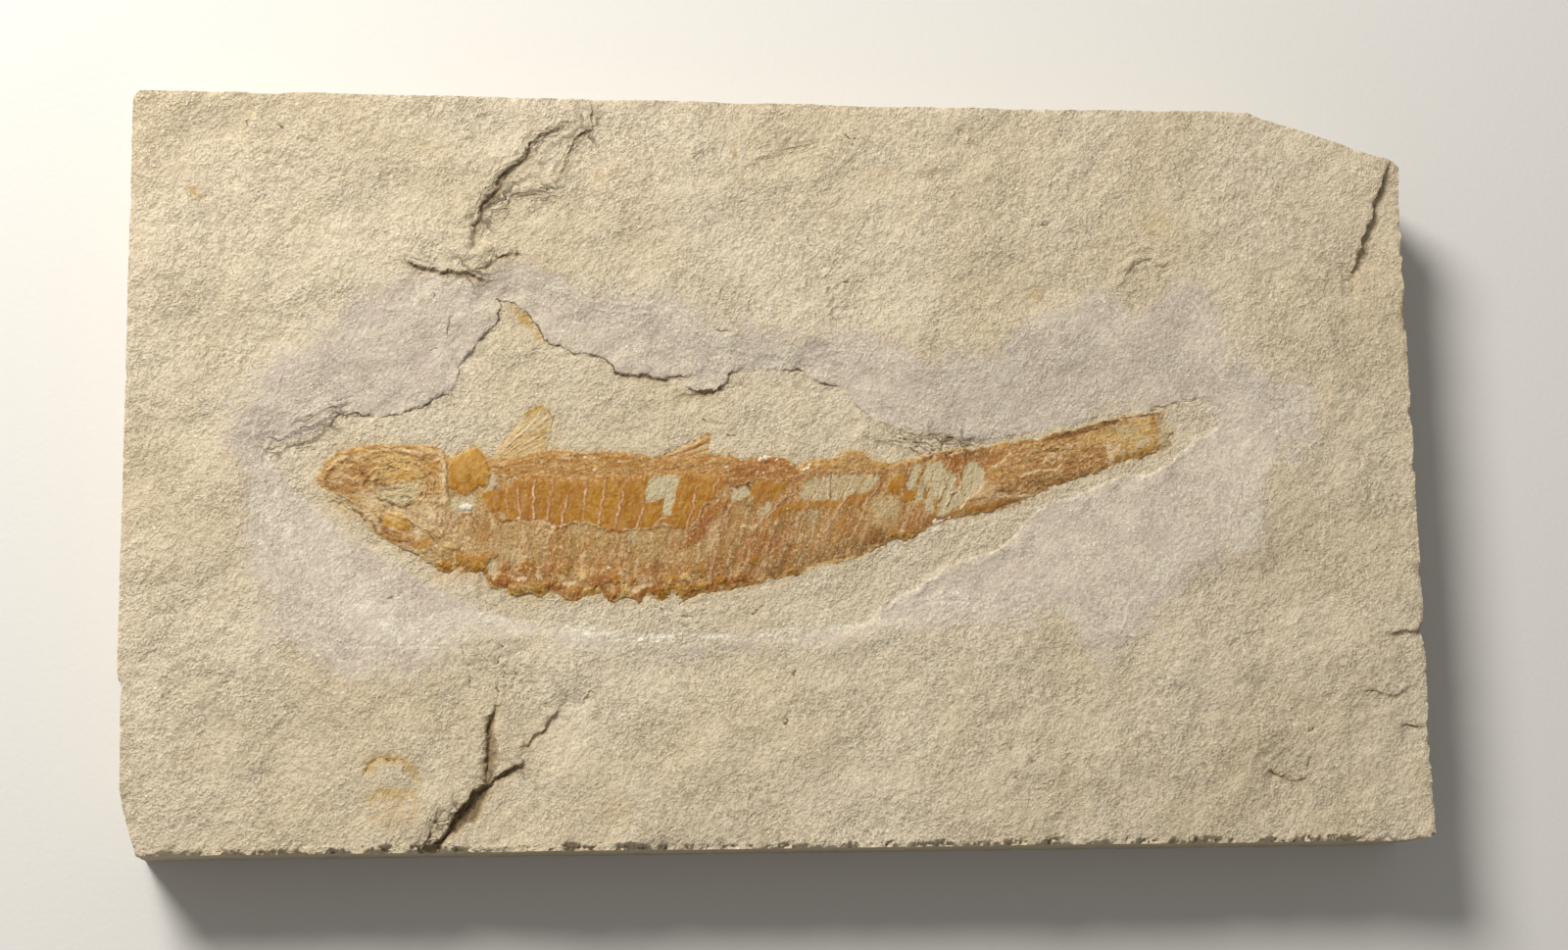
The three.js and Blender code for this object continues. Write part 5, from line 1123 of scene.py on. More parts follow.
def line_points(line, spacing):
    """Points along a line, that far apart."""
    made = []
    for a, b in zip(line, line[1:]):
        steps = max(1, round(math.dist(a, b) / spacing))
        made += [lerp(np.array(a, float), np.array(b, float), k / steps) for k in range(steps)]
    made.append(np.array(line[-1], float))
    return np.array(made)


def scattered(pitch, keep, rng, low=SLAB_LOW - 1, high=SLAB_HIGH + 1):
    """A shaken grid of points in a box, where keep(x, y) is true."""
    x, y = np.meshgrid(np.arange(low[0], high[0], pitch), np.arange(low[1], high[1], pitch))
    x, y = [(c + rng.uniform(-0.3, 0.3, c.shape) * pitch).ravel() for c in (x, y)]
    kept = keep(x, y)
    return np.stack([x[kept], y[kept]], axis=1)


def slab_outline_points(spacing):
    """The outline from above, with its notches and the unevenness of a cut edge."""
    ring = line_points([*SLAB_OUTLINE, SLAB_OUTLINE[0]], spacing)[:-1]
    x, y = ring.T
    inward = 0.05 + 0.03 * rough_waves(x, y, 1.1, 71, 3, 0.7)
    for nx, ny, radius, depth in NOTCHES:
        inward += depth * np.exp(-(((x - nx) ** 2 + (y - ny) ** 2) / radius ** 2))
    ahead, behind = np.roll(ring, -1, axis=0), np.roll(ring, 1, axis=0)
    along = ahead - behind
    along /= np.linalg.norm(along, axis=1, keepdims=True)
    normal_in = np.stack([-along[:, 1], along[:, 0]], axis=1)
    return ring + normal_in * inward[:, None]


def triangulated(ring, inner):
    """Triangles that fill a ring of points, using the inner points too."""
    points = [Vector(p) for p in [*ring.tolist(), *inner.tolist()]]
    loop = [list(range(len(ring)))]
    verts, _, faces, origin, _, _ = delaunay_2d_cdt(points, [], loop, 1, 1e-6)
    place = {}
    for out, sources in enumerate(origin):
        for source in sources:
            place[source] = out
    ring_index = [place[k] for k in range(len(ring))]
    return np.array([tuple(v) for v in verts]), np.array(faces), ring_index


def closed(name, ring, inner, surface, underside, rows, wall, base_inner, node, sharp_deg):
    """A closed piece. surface(x, y) gives the heights and masks of its upper side. Its sides
    have `rows` rows, and wall(x, y, level) says what share of the way to the middle they stand."""
    flat, triangles, ring_index = triangulated(ring, inner)
    x, y = flat.T
    z, masks = surface(x, y)
    points = [np.stack([x, y, z], axis=1)]
    faces = [triangles]
    count = len(flat)
    upper = np.array(ring_index)
    ring_x, ring_y, ring_z = x[upper], y[upper], z[upper]
    for row in range(1, rows + 1):
        level = underside + (ring_z - underside) * (1 - row / rows)
        pull = 1 if wall is None else 1 - wall(ring_x, ring_y, level)
        lower = np.arange(len(ring)) + count
        points.append(np.stack([ring_x * pull, ring_y * pull, level], axis=1))
        count += len(ring)
        after_upper, after_lower = np.roll(upper, -1), np.roll(lower, -1)
        faces.append(np.stack([upper, lower, after_lower], axis=1))
        faces.append(np.stack([upper, after_lower, after_upper], axis=1))
        upper = lower
    base_inner = np.zeros((0, 2)) if base_inner is None else base_inner
    flat, triangles, ring_index = triangulated(points[-1][:, :2], base_inner)
    index = np.full(len(flat), -1)
    index[ring_index] = lower
    new = np.flatnonzero(index < 0)
    index[new] = count + np.arange(len(new))
    points.append(np.stack([*flat[new].T, np.full(len(new), underside)], axis=1))
    faces.append(index[triangles][:, ::-1])
    points, faces = np.concatenate(points), np.concatenate(faces)
    unseen = len(points) - len(z)
    masks = {mask: np.pad(values, (0, unseen)) for mask, values in masks.items()}
    masks["sides"] = np.pad(np.zeros(len(z)), (0, unseen), constant_values=1)
    return put_mesh(name, points, faces, masks, node, sharp_deg)


def build_slab():
    """The stone, with finer triangles at its front, along its breaks and cracks, and along the
    edges of the bedding and the fish."""
    rng = np.random.default_rng(5)
    fine_lines = [b.line for b in BREAKS] + HAIRLINES
    fine_lines += [[*BEDDING_EDGE, BEDDING_EDGE[0]], [*FISH_OUTLINE, FISH_OUTLINE[0]]]

    def near_any(x, y, reach):
        close = np.full(x.shape, np.inf)
        wx, wy = jagged(x, y)
        for line in fine_lines:
            close = np.minimum(close, near_line(wx, wy, line).distance)
        return close < reach

    def in_slab(x, y):
        return depth_inside(x, y, SLAB_OUTLINE) > 0.2

    def needs_fine(x, y):
        return near_any(x, y, 0.3) | (y < -38)

    def wall(x, y, level):
        wobble = 0.05 * np.abs(rough_waves(x + y, level, 2.2, 81, 2))
        inset = 0.25 * smoothstep(0.8, 0, level) * np.clip(waves(x, y, 3, 91), 0, 1)
        return (wobble + inset) / 60

    coarse = scattered(COARSE_PITCH, in_slab, rng)
    fine = scattered(FINE_PITCH, lambda x, y: needs_fine(x, y) & in_slab(x, y), rng)
    coarse = coarse[~near_any(coarse[:, 0], coarse[:, 1], 0.38) & (coarse[:, 1] > -37.8)]
    inner = np.concatenate([coarse, fine])
    base_inner = scattered(
        BASE_PITCH, lambda x, y: depth_inside(x, y, SLAB_OUTLINE) > 2, rng
    )
    slab = closed("stone", slab_outline_points(OUTLINE_PITCH), inner, slab_surface, 0.0,
                  SIDE_ROWS, wall, base_inner, "limestone_slab", STONE_SHARP_DEG)
    slab.data.materials.append(limestone())


def widened(outline, reach):
    """A closed anticlockwise or clockwise outline moved outwards by `reach`."""
    ring = np.array(outline, float)
    along = np.roll(ring, -1, axis=0) - np.roll(ring, 1, axis=0)
    along /= np.linalg.norm(along, axis=1, keepdims=True)
    area = np.sum(ring[:, 0] * np.roll(ring[:, 1], -1) - np.roll(ring[:, 0], -1) * ring[:, 1])
    outward = np.sign(area) * np.stack([along[:, 1], -along[:, 0]], axis=1)
    return (ring + reach * outward).tolist()


def limestone():
    """The stone: sand-coloured where it split, greyer where it was scraped, brown in its breaks, with
    painted shade in its hollows, pits, cracks and torn ledges, and painted highlights on its grains.
    """
    s = Shader("limestone_look")
    grain_place = s.stretched(48, 1.2)
    cloud = s.noise(14, detail=3)
    clumps = s.noise(2.2, grain_place, detail=3, roughness=0.6)
    grain = s.noise(0.66, grain_place, detail=3, roughness=0.7)
    grit = s.noise(0.27, detail=2, roughness=0.7)
    fray = s.math("SUBTRACT", s.noise(1.8, detail=5, roughness=0.7), 0.5)

    # the scraped hollow has a frayed rim, and is greyer and mottled
    scraped = s.ramp(s.math("MULTIPLY_ADD", fray, 2, s.mask("scraped")), 0.3, 0.95)
    mottled = s.noise(2.6, detail=5, roughness=0.65)
    grey = s.mix(s.ramp(mottled, 0.36, 0.64), srgb(188, 173, 158), srgb(203, 191, 171))
    stone = s.mix(s.ramp(cloud, 0.3, 0.7), srgb(203, 186, 155), srgb(212, 197, 170))
    stone = s.mix(s.math("MULTIPLY", s.ramp(clumps, 0.5, 0.3), 0.15), stone, srgb(180, 162, 132))
    colour = s.mix(s.math("MULTIPLY", scraped, 0.9), stone, grey)
    patchy = s.ramp(s.noise(5, detail=2), 0.35, 0.65, 0.7, 1.05)
    calm = s.math("MULTIPLY", s.ramp(scraped, 0, 1, 1, 0.65), patchy)
    # painted shade in the hollows of the grain and the pits of the grit, and painted highlights on the
    # grit's tops, all following the bump's heights
    dimple_shade = s.math("MULTIPLY", s.ramp(grain, 0.5, 0.34, 0, 0.5), calm)
    colour = s.mix(dimple_shade, colour, srgb(150, 132, 104))
    pit_speck_shade = s.math("MULTIPLY", s.ramp(grit, 0.45, 0.3, 0, 0.55), patchy)
    colour = s.mix(pit_speck_shade, colour, srgb(146, 128, 102))
    grain_highlights = s.math("MULTIPLY", s.ramp(grit, 0.55, 0.72, 0, 0.75), patchy)
    colour = s.mix(grain_highlights, colour, srgb(245, 236, 218))
    # scraper marks, which run round the hollow, drawn in colour only as stripes of painted light and
    # painted shade for their grooves' lit and shaded sides
    round_place = s.vector(s.math("MULTIPLY", s.mask("rim"), 2), s.noise(9, detail=1))
    marks = s.noise(1, round_place, detail=4, roughness=0.65)
    marked = s.math("MULTIPLY", scraped, s.ramp(s.mask("rim"), 6, 2, 0.3, 1))
    light = s.math("MULTIPLY", s.ramp(marks, 0.52, 0.66, 0, 0.45), marked)
    colour = s.mix(light, colour, srgb(232, 222, 206))
    shade = s.math("MULTIPLY", s.ramp(marks, 0.47, 0.34, 0, 0.45), marked)
    colour = s.mix(shade, colour, srgb(158, 141, 122))

    # chalky white, partly a painted highlight on the lit lip of the southern ledge
    streaks = s.ramp(s.noise(0.7, grain_place, detail=5, roughness=0.8), 0.42, 0.6, 0, 1)
    colour = s.mix(s.math("MULTIPLY", s.mask("chalk_and_highlight"), streaks), colour, srgb(236, 228, 210))
    # ochre stains, and one faint band of painted shade above the tail
    blotched = s.ramp(s.noise(0.7, detail=4, roughness=0.7), 0.3, 0.6, 0.25, 1)
    colour = s.mix(s.math("MULTIPLY", s.mask("stain_and_shade"), blotched), colour, srgb(188, 154, 90))
    saw_place = s.stretched(0, 30)
    sawn = s.mix(s.noise(1.1, saw_place, detail=3), srgb(176, 160, 132), srgb(204, 190, 164))
    colour = s.mix(s.math("MULTIPLY", s.mask("sides"), 0.8), colour, sawn)

    # the brown risers and facets of the breaks, partly iron staining and partly painted shade; painted
    # shade in the hollows of their torn ledges; and dark lines of painted shade in their open cracks and
    # pits
    colour = s.mix(s.math("MULTIPLY", s.mask("riser_stain_and_shade"), 0.5), colour, srgb(178, 150, 108))
    colour = s.mix(s.math("MULTIPLY", s.mask("facet_stain_and_shade"), 0.85), colour, srgb(122, 99, 66))
    bent = s.math("MULTIPLY_ADD", fray, 1.2, s.mask("across"))
    torn_place = s.vector(s.math("MULTIPLY", bent, 1.7), s.math("MULTIPLY", s.mask("along"), 0.3))
    torn = s.noise(1, torn_place, detail=2, roughness=0.6)
    # painted shade in the low parts of the torn ledges' bump
    crumpled = s.math("MULTIPLY", s.mask("crumpled"), s.ramp(torn, 0.47, 0.36, 0, 0.8))
    colour = s.mix(crumpled, colour, srgb(124, 106, 80))
    # the open cracks and the pits: a dark line of painted shade
    wander = s.noise(0.6, detail=5, roughness=0.75)
    wander = s.math("MULTIPLY", s.math("SUBTRACT", wander, 0.5), 0.5)
    away = s.math("ABSOLUTE", s.math("ADD", s.mask("across"), wander))
    crack_line_shade = s.ramp(s.math("SUBTRACT", away, s.mask("gape")), 0.03, -0.03)
    crack_line_shade = s.math("MULTIPLY", crack_line_shade, s.ramp(s.mask("gape"), 0.005, 0.05))
    crack_line_shade = s.math("MAXIMUM", crack_line_shade, s.ramp(s.mask("crack"), 0.25, 0.8))
    colour = s.mix(s.math("MULTIPLY", crack_line_shade, 0.85), colour, srgb(96, 74, 46))

    flakes = s.math("ADD", s.ramp(grain, 0.42, 0.46), s.ramp(grain, 0.53, 0.57))
    heights = s.math("MULTIPLY_ADD", grain, 0.5, s.math("MULTIPLY", flakes, 0.13))
    heights = s.math("SUBTRACT", s.math("MULTIPLY_ADD", grit, 0.5, heights), 0.63)
    worn = s.math("MULTIPLY", calm, s.ramp(scraped, 0, 1, 1, 0.85))
    fine = s.bump(s.math("MULTIPLY", heights, worn), 0.4)
    ledges = s.math("MULTIPLY", s.math("SUBTRACT", torn, 0.5), s.mask("crumpled"))
    return s.finish(colour, 0.92, s.bump(ledges, 0.9, fine), 0.2)


# What covers the fish

FOSSIL_COLOURS = {
    "film": (186, 150, 97), "bone": (182, 130, 68), "amber": (164, 112, 16),
    "rust": (156, 92, 38), "umber": (108, 70, 34), "pale": (200, 187, 150),
    "straw": (222, 188, 120), "ridge": (232, 204, 162), "dark": (62, 48, 32),
    "shine": (250, 240, 222),
}


class Coat:
    """What covers the stone at each point: its thickness, its share of each colour, how far
    its fibres run lengthwise, and how smooth it is, as the amber scales are."""

    def __init__(self, x, y, thickness):
        self.wx = x + 0.14 * rough_waves(x, y, 0.9, 101, 3, 0.6)
        self.wy = y + 0.14 * rough_waves(x, y, 0.9, 111, 3, 0.6)
        self.fray = rough_waves(x, y, 0.7, 105, 3, 0.8)
        self.thickness = np.full(x.shape, thickness)
        self.shares = {colour: np.zeros(x.shape) for colour in FOSSIL_COLOURS}
        self.shares["film"] += 1
        self.lengthwise = np.ones(x.shape)
        self.smooth = np.zeros(x.shape)

    def lay(self, colour, share, rise=0.0, where=slice(None)):
        """Covers a share of each point with a colour, and thickens it by that share of rise."""
        for layer in self.shares.values():
            layer[where] *= 1 - share
        self.shares[colour][where] += share
        self.thickness[where] += rise * share

    def near(self, places, reach):
        """The points within reach of the box round some places."""
        xs, ys = zip(*places)
        in_x = (self.wx > min(xs) - reach) & (self.wx < max(xs) + reach)
        in_y = (self.wy > min(ys) - reach) & (self.wy < max(ys) + reach)
        return np.flatnonzero(in_x & in_y)

    def patch(self, patch):
        """Lays a patch: an amber one is smooth, and a strong one of another colour is rough."""
        where = self.near(patch.outline, patch.soft)
        depth = depth_inside(self.wx[where], self.wy[where], patch.outline)
        depth += (0.05 + 0.6 * patch.soft) * self.fray[where]
        share = patch.share * smoothstep(-patch.soft, patch.soft, depth)
        self.lay(patch.colour, share, patch.rise, where)
        if patch.colour == "amber":
            self.smooth[where] = np.maximum(self.smooth[where], share)
        elif patch.share > 0.5:
            self.smooth[where] *= 1 - share

    def stroke(self, stroke):
        """Lays a stroke."""
        where = self.near(stroke.line, 3 * stroke.width)
        distance = near_line(self.wx[where], self.wy[where], stroke.line).distance
        share = stroke.share * np.exp(-((distance / stroke.width) ** 2))
        share = np.minimum(share * np.clip(1.1 + 0.9 * self.fray[where], 0.2, 1.4), 1)
        self.lay(stroke.colour, share, stroke.rise, where)

    def lobe(self, colour, place, rise, share):
        """A knob, or a dent where rise is negative: place is x, y, its two radii and its turn."""
        cx, cy, long_radius, short_radius, turn = place
        where = self.near([(cx, cy)], 1.1 * max(long_radius, short_radius))
        u, v = along_grain(self.wx[where] - cx, self.wy[where] - cy, turn, 1)
        u, v = u + 0.3 * waves(u + cx, v + cy, 0.8, 113), v + 0.3 * waves(u + cx, v + cy, 0.8, 114)
        dome = 1 - (u / long_radius) ** 2 - (v / short_radius) ** 2
        dome = np.clip(dome + 0.35 * self.fray[where], 0, 1)
        self.lay(colour, share * smoothstep(0, 0.3, dome), 0, where)
        self.thickness[where] += rise * np.sqrt(dome)


def coat_fish(x, y):
    """The bones and scales from the snout to the tail."""
    coat = Coat(x, y, FISH_FILM)
    back, belly = read_table(BACK, x), read_table(BELLY, x)
    height = np.maximum(back - belly, 0.5)
    level = np.clip((coat.wy - belly) / height, 0, 1)
    bulge = 4 * level * (1 - level)
    head = smoothstep(SKULL_END + 0.1, SKULL_END - 0.1, x)
    # lengthwise fibres, which bend round the eye socket
    socket = np.hypot((coat.wx + 40.2) / 1.7, coat.wy + 1.8) + 0.3 * rough_waves(x, y, 1.7, 125, 2)
    across = level * read_table(FIBRE_SPREAD, x)
    across = lerp(1.4 * socket, across, smoothstep(1.3, 2.8, socket))
    short = 5 - 2.8 * smoothstep(-37, -33, x) + 1.5 * smoothstep(14, 20, x)
    fibres = 0.6 * waves(x / short, across, 0.42, 121) + 0.5 * waves(x / short, across, 0.2, 122)
    fibres += head * (0.7 * fibres + 1.1 * waves(x / 7, across, 0.8, 124))
    row = coat.wx - read_table(SCALE_LEAN, x) * (coat.wy + 3)
    streaks = waves(row, y / 7, 0.55, 131) + 0.5 * waves(row, y / 5, 0.26, 132)
    wide = waves(row, y / 6, 1.4, 133)
    cloud = rough_waves(x, y, 1.9, 141, 3)
    grit = rough_waves(x, y, 0.4, 151, 2, 0.8)
    creases = smoothstep(0.2, 0.02, np.abs(rough_waves(x, y, 1.9, 161, 3, 0.6)))

    tail = smoothstep(TAIL_START - 1.5, TAIL_START + 1.5, row)
    band_level = coat.wy - read_table(BAND_FOOT, x)
    band = smoothstep(-0.15, 0.15, band_level)
    band = band * smoothstep(GILL_COVER_END - 0.4, GILL_COVER_END + 0.4, x) * (1 - tail)
    rear = smoothstep(-10.5, -5, row) * (1 - band)
    flank = (1 - head) * (1 - tail) * (1 - band)
    low = smoothstep(0.4, 0.15, level) * (1 - rear)

    # mottling of the flank, then the fibrous bone of the skull, the back and the tail
    coat.lay("bone", flank * np.clip(0.15 + 0.6 * cloud + 0.45 * wide + 0.5 * rear + 0.4 * low, 0, 0.95))
    coat.lay("amber", flank * np.clip(0.5 * rough_waves(x, y, 2.2, 173, 3) - 0.08, 0, 0.4))
    reddish = 0.5 * rough_waves(x, y, 2.6, 171, 3) - 0.1 + 0.15 * low + 0.25 * rear
    coat.lay("rust", flank * np.clip(reddish, 0, 0.5))
    coat.lay("umber", flank * np.clip(-0.35 * streaks - 0.6 * wide - 0.15 + 0.33 * rear, 0, 0.5))
    coat.lay("ridge", flank * np.clip(0.4 * streaks + 0.65 * wide + 0.5 * grit - 0.22, 0, 0.6), 0.02)
    coat.lay("umber", flank * np.clip(-0.8 * grit - 0.3, 0, 0.45), -0.02)
    # the rows of scales of the lower and the rear flank
    rows = row / ROW_PITCH + 0.2 * waves(x, y, 3, 176)
    row_edge = np.exp(-(((rows - np.round(rows)) * ROW_PITCH / 0.12) ** 2))
    row_tone = waves(np.floor(rows + 0.5) * 3.7, 0 * row, 1.3, 192)
    coat.lay("rust", flank * np.clip((0.2 + 0.5 * rear) * row_tone, 0, 0.4))
    coat.lay("film", flank * np.clip((-0.2 - 0.5 * rear) * row_tone, 0, 0.4))
    coat.lay("umber", flank * row_edge * np.clip(0.1 + 0.2 * rear - 0.6 * coat.fray, 0, 0.5), -0.02)
    coat.lay("ridge", flank * row_edge * np.clip(0.15 + 0.35 * rear + 0.7 * coat.fray, 0, 0.8), 0.03)
    coat.lay("pale", flank * (1 - rear) * np.clip(0.5 * rough_waves(x, y, 3.5, 181, 3) - 0.1, 0, 0.3))
    fibrous = np.maximum(np.maximum(head, tail), band)
    coat.lengthwise = fibrous
    coat.lay("bone", fibrous, 0.06)
    coat.lay("film", 0.6 * head + 0.3 * band + 0.3 * tail)
    coat.lay("amber", fibrous * np.clip(0.4 * rough_waves(x, y, 1.5, 172, 3), 0, 0.4))
    coat.lay("rust", fibrous * np.clip(-0.4 * cloud - 0.05 + 0.1 * tail, 0, 0.4))
    coat.lay("umber", fibrous * np.clip((0.4 * head - 1.1) * fibres + 0.3 * cloud - 0.2, 0, 0.7))
    coat.lay("straw", fibrous * np.clip(1.1 * fibres + 0.3 * grit - 0.25 + 0.15 * head, 0, 0.8), 0.02)
    coat.lay("ridge", tail * np.clip(0.9 * grit - 0.25, 0, 0.5), 0.02)
    coat.lay("umber", tail * np.clip(-coat.fray - 0.35, 0, 0.55), -0.03)
    flecks = waves(x / 2.2, across, 0.3, 123)
    coat.lay("ridge", fibrous * np.clip(1.1 * flecks + 0.6 * fibres - 0.45, 0, 0.7), 0.02)
    coat.thickness += fibrous * (0.05 * fibres + 0.02 * grit)
    domed = 0.08 + 0.16 * smoothstep(SKULL_END + 2, SKULL_END - 2, x)
    coat.thickness += bulge * domed + 0.02 * grit * (1 - fibrous)

    # the ragged orange rim of crushed scales along the throat and belly
    rim = np.exp(-(((coat.wy - belly - 0.6) / 0.7) ** 2))
    rim = rim * smoothstep(-41, -36, x) * (1 - 0.6 * smoothstep(-8, -2, x)) * (1 - tail)
    clumps = rough_waves(x, y, 1.1, 174, 3, 0.7)
    coat.lay("amber", rim * np.clip(0.5 + 0.5 * coat.fray, 0, 0.85), 0.05)
    coat.lay("rust", rim * np.clip(0.1 + 1.2 * clumps, 0, 0.6))
    coat.lay("umber", rim * np.clip(-0.25 - 1.4 * coat.fray, 0, 0.65), -0.04)
    coat.lay("straw", rim * np.clip(-0.2 - 1.5 * clumps, 0, 0.8))

    for patch in HEAD_PATCHES + GILL_PATCHES + BODY_PATCHES + TAIL_PATCHES:
        coat.patch(patch)
    ragged = smoothstep(32, 36, x) * np.clip(0.9 * rough_waves(x, y, 1.1, 177, 3, 0.7) - 0.1, 0, 0.6)
    coat.lay("pale", ragged, -0.02)
    # the tall scales' upper ends are lost in the band's crumbs
    seam = np.exp(-(((band_level + 0.05) / 0.4) ** 2)) * smoothstep(-31, -29, x) * (1 - rear)
    coat.lay("bone", seam * np.clip(0.5 + 0.7 * coat.fray, 0, 0.9))
    coat.lay("ridge", seam * np.clip(0.9 * grit - 0.1, 0, 0.5))
    # the tall scales differ a little from one to the next, and are finely cracked
    amber = coat.shares["amber"].copy()
    scale_tone = waves(np.floor(row / ROW_PITCH) * 3.7, 0 * row, 1.3, 191)
    plates = amber * smoothstep(GILL_COVER_END - 0.3, GILL_COVER_END + 0.3, x)
    coat.lay("rust", plates * np.clip(0.1 + 0.3 * scale_tone + 0.4 * cloud, 0, 0.5))
    coat.lay("umber", plates * np.clip(0.08 + 0.2 * scale_tone, 0, 0.3))
    blotches = rough_waves(row * 1.6, y, 1.3, 175, 3, 0.7)
    coat.lay("film", amber * np.clip(0.6 * blotches - 0.15 * scale_tone, 0, 0.3))
    coat.lay("umber", amber * np.clip(-0.6 * blotches - 0.12, 0, 0.4))
    cracks = smoothstep(0.07, 0, np.abs(rough_waves(row / 2, y, 1.5, 201, 2)))
    coat.lay("umber", 0.35 * amber * cracks, -0.03)
    # crushed bone: a net of creases between pinkish crumbs
    crushed = np.clip(1 - amber - coat.shares["pale"], 0, 1) * (1 - band) * (1 - tail)
    front = smoothstep(-30, -36, x) * smoothstep(-2.5, -3.5, y)
    coat.lay("umber", crushed * creases * (0.12 + 0.35 * front), -0.04)
    coat.lay("ridge", crushed * front * np.clip(0.15 + 0.6 * cloud + 0.4 * grit, 0, 0.65), 0.03)

    # each seam gets a rusty line, a raised pale edge and, just east of it on the side away from the
    # light, a dark umber line painted as its shadow
    for strength, seam in SCALE_SEAMS:
        beside = [(px + SEAM_SHADOW_SHIFT, py) for px, py in seam]
        coat.stroke(Stroke("rust", 0.32, 0.6 * strength, 0, seam))
        coat.stroke(Stroke("umber", 0.09, 0.6 * strength, -0.04, beside))
        coat.stroke(Stroke("ridge", 0.075, 0.6 * strength, 0.04, seam))
    for stroke in STROKES:
        coat.stroke(stroke)
    for place in PALE_GAPS:
        coat.lobe("ridge", place, -0.1, 0.6)
    for colour, *place in LOBES:
        coat.lobe(colour, place, 0.14, 0.6)
    for cx, cy, radius in CRYSTALS:
        coat.lobe("shine", (cx, cy, radius, 0.7 * radius, 30), 0.5 * radius, 0.9)
    return coat


def coat_fin(x, y, hub, fade, outline):
    """A fan of rays from a hub, which fades into the stone over its outer `fade` millimetres."""
    coat = Coat(x, y, FIN_FILM)
    coat.wx, coat.wy = lerp(coat.wx, x, 0.7), lerp(coat.wy, y, 0.7)
    angle = np.degrees(np.arctan2(coat.wy - hub[1], coat.wx - hub[0])) / FIN_RAY_DEG
    reach = np.hypot(x - hub[0], y - hub[1])
    ray = np.cos(2 * np.pi * (angle + 0.2 * waves(x, y, 2.5, 211)))
    fine = waves(reach / 6, angle, 0.4, 213)
    broken = rough_waves(reach / 3, angle, 0.9, 212, 2)
    coat.lay("straw", np.full(x.shape, 0.7))
    coat.lay("pale", np.clip(0.35 - 0.2 * ray + 0.6 * broken, 0, 0.8))
    coat.lay("bone", np.clip(-0.3 * ray - 0.7 * fine + 0.2 * broken - 0.15, 0, 0.45))
    coat.lay("ridge", np.clip(0.4 * ray + 1.1 * fine - 0.15, 0, 0.85))
    coat.thickness += 0.02 * ray + 0.04 * fine
    for stroke in FIN_STROKES:
        coat.stroke(stroke)
    rim = depth_inside(coat.wx, coat.wy, outline) + 0.25 * coat.fray
    coat.lay("pale", 0.85 * smoothstep(fade, -0.1, rim), -0.02)
    return coat


def bed_surface(x, y):
    """The natural bedding plane that the fish lies on."""
    return BED_LEVEL + 0.06 + 0.05 * rough_waves(x, y, 24, 51, 3)


def coated(coat, x, y, outline):
    """Height and masks of a covered surface, which dips under the stone round its outline."""
    inside = depth_inside(x, y, outline) + 0.16 * rough_waves(x, y, 0.9, 221, 4, 0.7)
    thickness = coat.thickness * (0.3 + 0.7 * smoothstep(0, 0.8, inside))
    edge = smoothstep(-0.14, 0.1, inside)
    coat.lay("straw", 0.4 * smoothstep(0.25, 0, inside))
    coat.lay("pale", 0.6 * smoothstep(0.1, -0.1, inside))
    masks = {**coat.shares, "lengthwise": coat.lengthwise, "smooth": coat.smooth}
    return bed_surface(x, y) + lerp(-0.3, thickness, edge), masks


def offset(line, reach):
    """The line moved to its left by `reach`."""
    points = np.array(line, float)
    along = np.gradient(points, axis=0)
    along /= np.linalg.norm(along, axis=1, keepdims=True)
    return points + reach * np.stack([-along[:, 1], along[:, 0]], axis=1)


def fish_ring(x_from, x_to):
    """The outline of the fish between two cuts, with its margin."""
    sides = []
    for line, reach in ((BELLY, -FISH_MARGIN), (BACK, FISH_MARGIN)):
        rim = offset(line, reach)
        between = rim[(rim[:, 0] > x_from) & (rim[:, 0] < x_to)]
        first, last = [(x, np.interp(x, *rim.T)) for x in (x_from, x_to)]
        sides.append([first, *between.tolist(), last])
    return [*sides[0], *sides[1][::-1]]


def build_film(name, ring, surface, node, material):
    """A thin closed piece on the stone, with surface(x, y) as its upper side."""
    rng = np.random.default_rng(7)
    outline = line_points([*ring, ring[0]], FISH_PITCH)[:-1]
    low, high = outline.min(axis=0), outline.max(axis=0)
    inner = scattered(
        FISH_PITCH, lambda x, y: depth_inside(x, y, ring) > 0.7 * FISH_PITCH, rng, low, high
    )
    underside = BED_LEVEL - FISH_SUNK
    piece = closed(name, outline, inner, surface, underside, 1, None, None, node,
                   FILM_SHARP_DEG)
    piece.data.materials.append(material)


def build_fish():
    """The four pieces along the fish, then its two fins."""
    def fish_surface(x, y):
        return coated(coat_fish(x, y), x, y, FISH_OUTLINE)

    snout, tail_tip = BACK[0][0] - FISH_MARGIN, BACK[-1][0] + FISH_MARGIN
    for name, x_from, x_to, node, slot in (
        ("skull_bones", snout, SKULL_END, "skull", "bone"),
        ("gill_cover_and_throat", SKULL_END, GILL_COVER_END, "gill_cover", "amber_scale"),
        ("body_scales", GILL_COVER_END, TAIL_START, "scaled_body", "amber_scale"),
        ("tail_rays", TAIL_START, tail_tip, "tail", "bone"),
    ):
        ring = fish_ring(x_from, x_to)
        build_film(name, ring, fish_surface, node, fossil(slot))
    for name, outline, hub, fade, node in (
        ("breast_fin_rays", FRONT_FIN, FRONT_FIN_HUB, 0.45, "front_fin"),
        ("back_fin_rays", BACK_FIN, BACK_FIN_HUB, 0.1, "back_fin"),
    ):
        def fin_surface(x, y, outline=outline, hub=hub, fade=fade):
            return coated(coat_fin(x, y, hub, fade, outline), x, y, outline)

        ring = widened(outline, FISH_MARGIN)
        build_film(name, ring, fin_surface, node, fossil("pale_fin"))


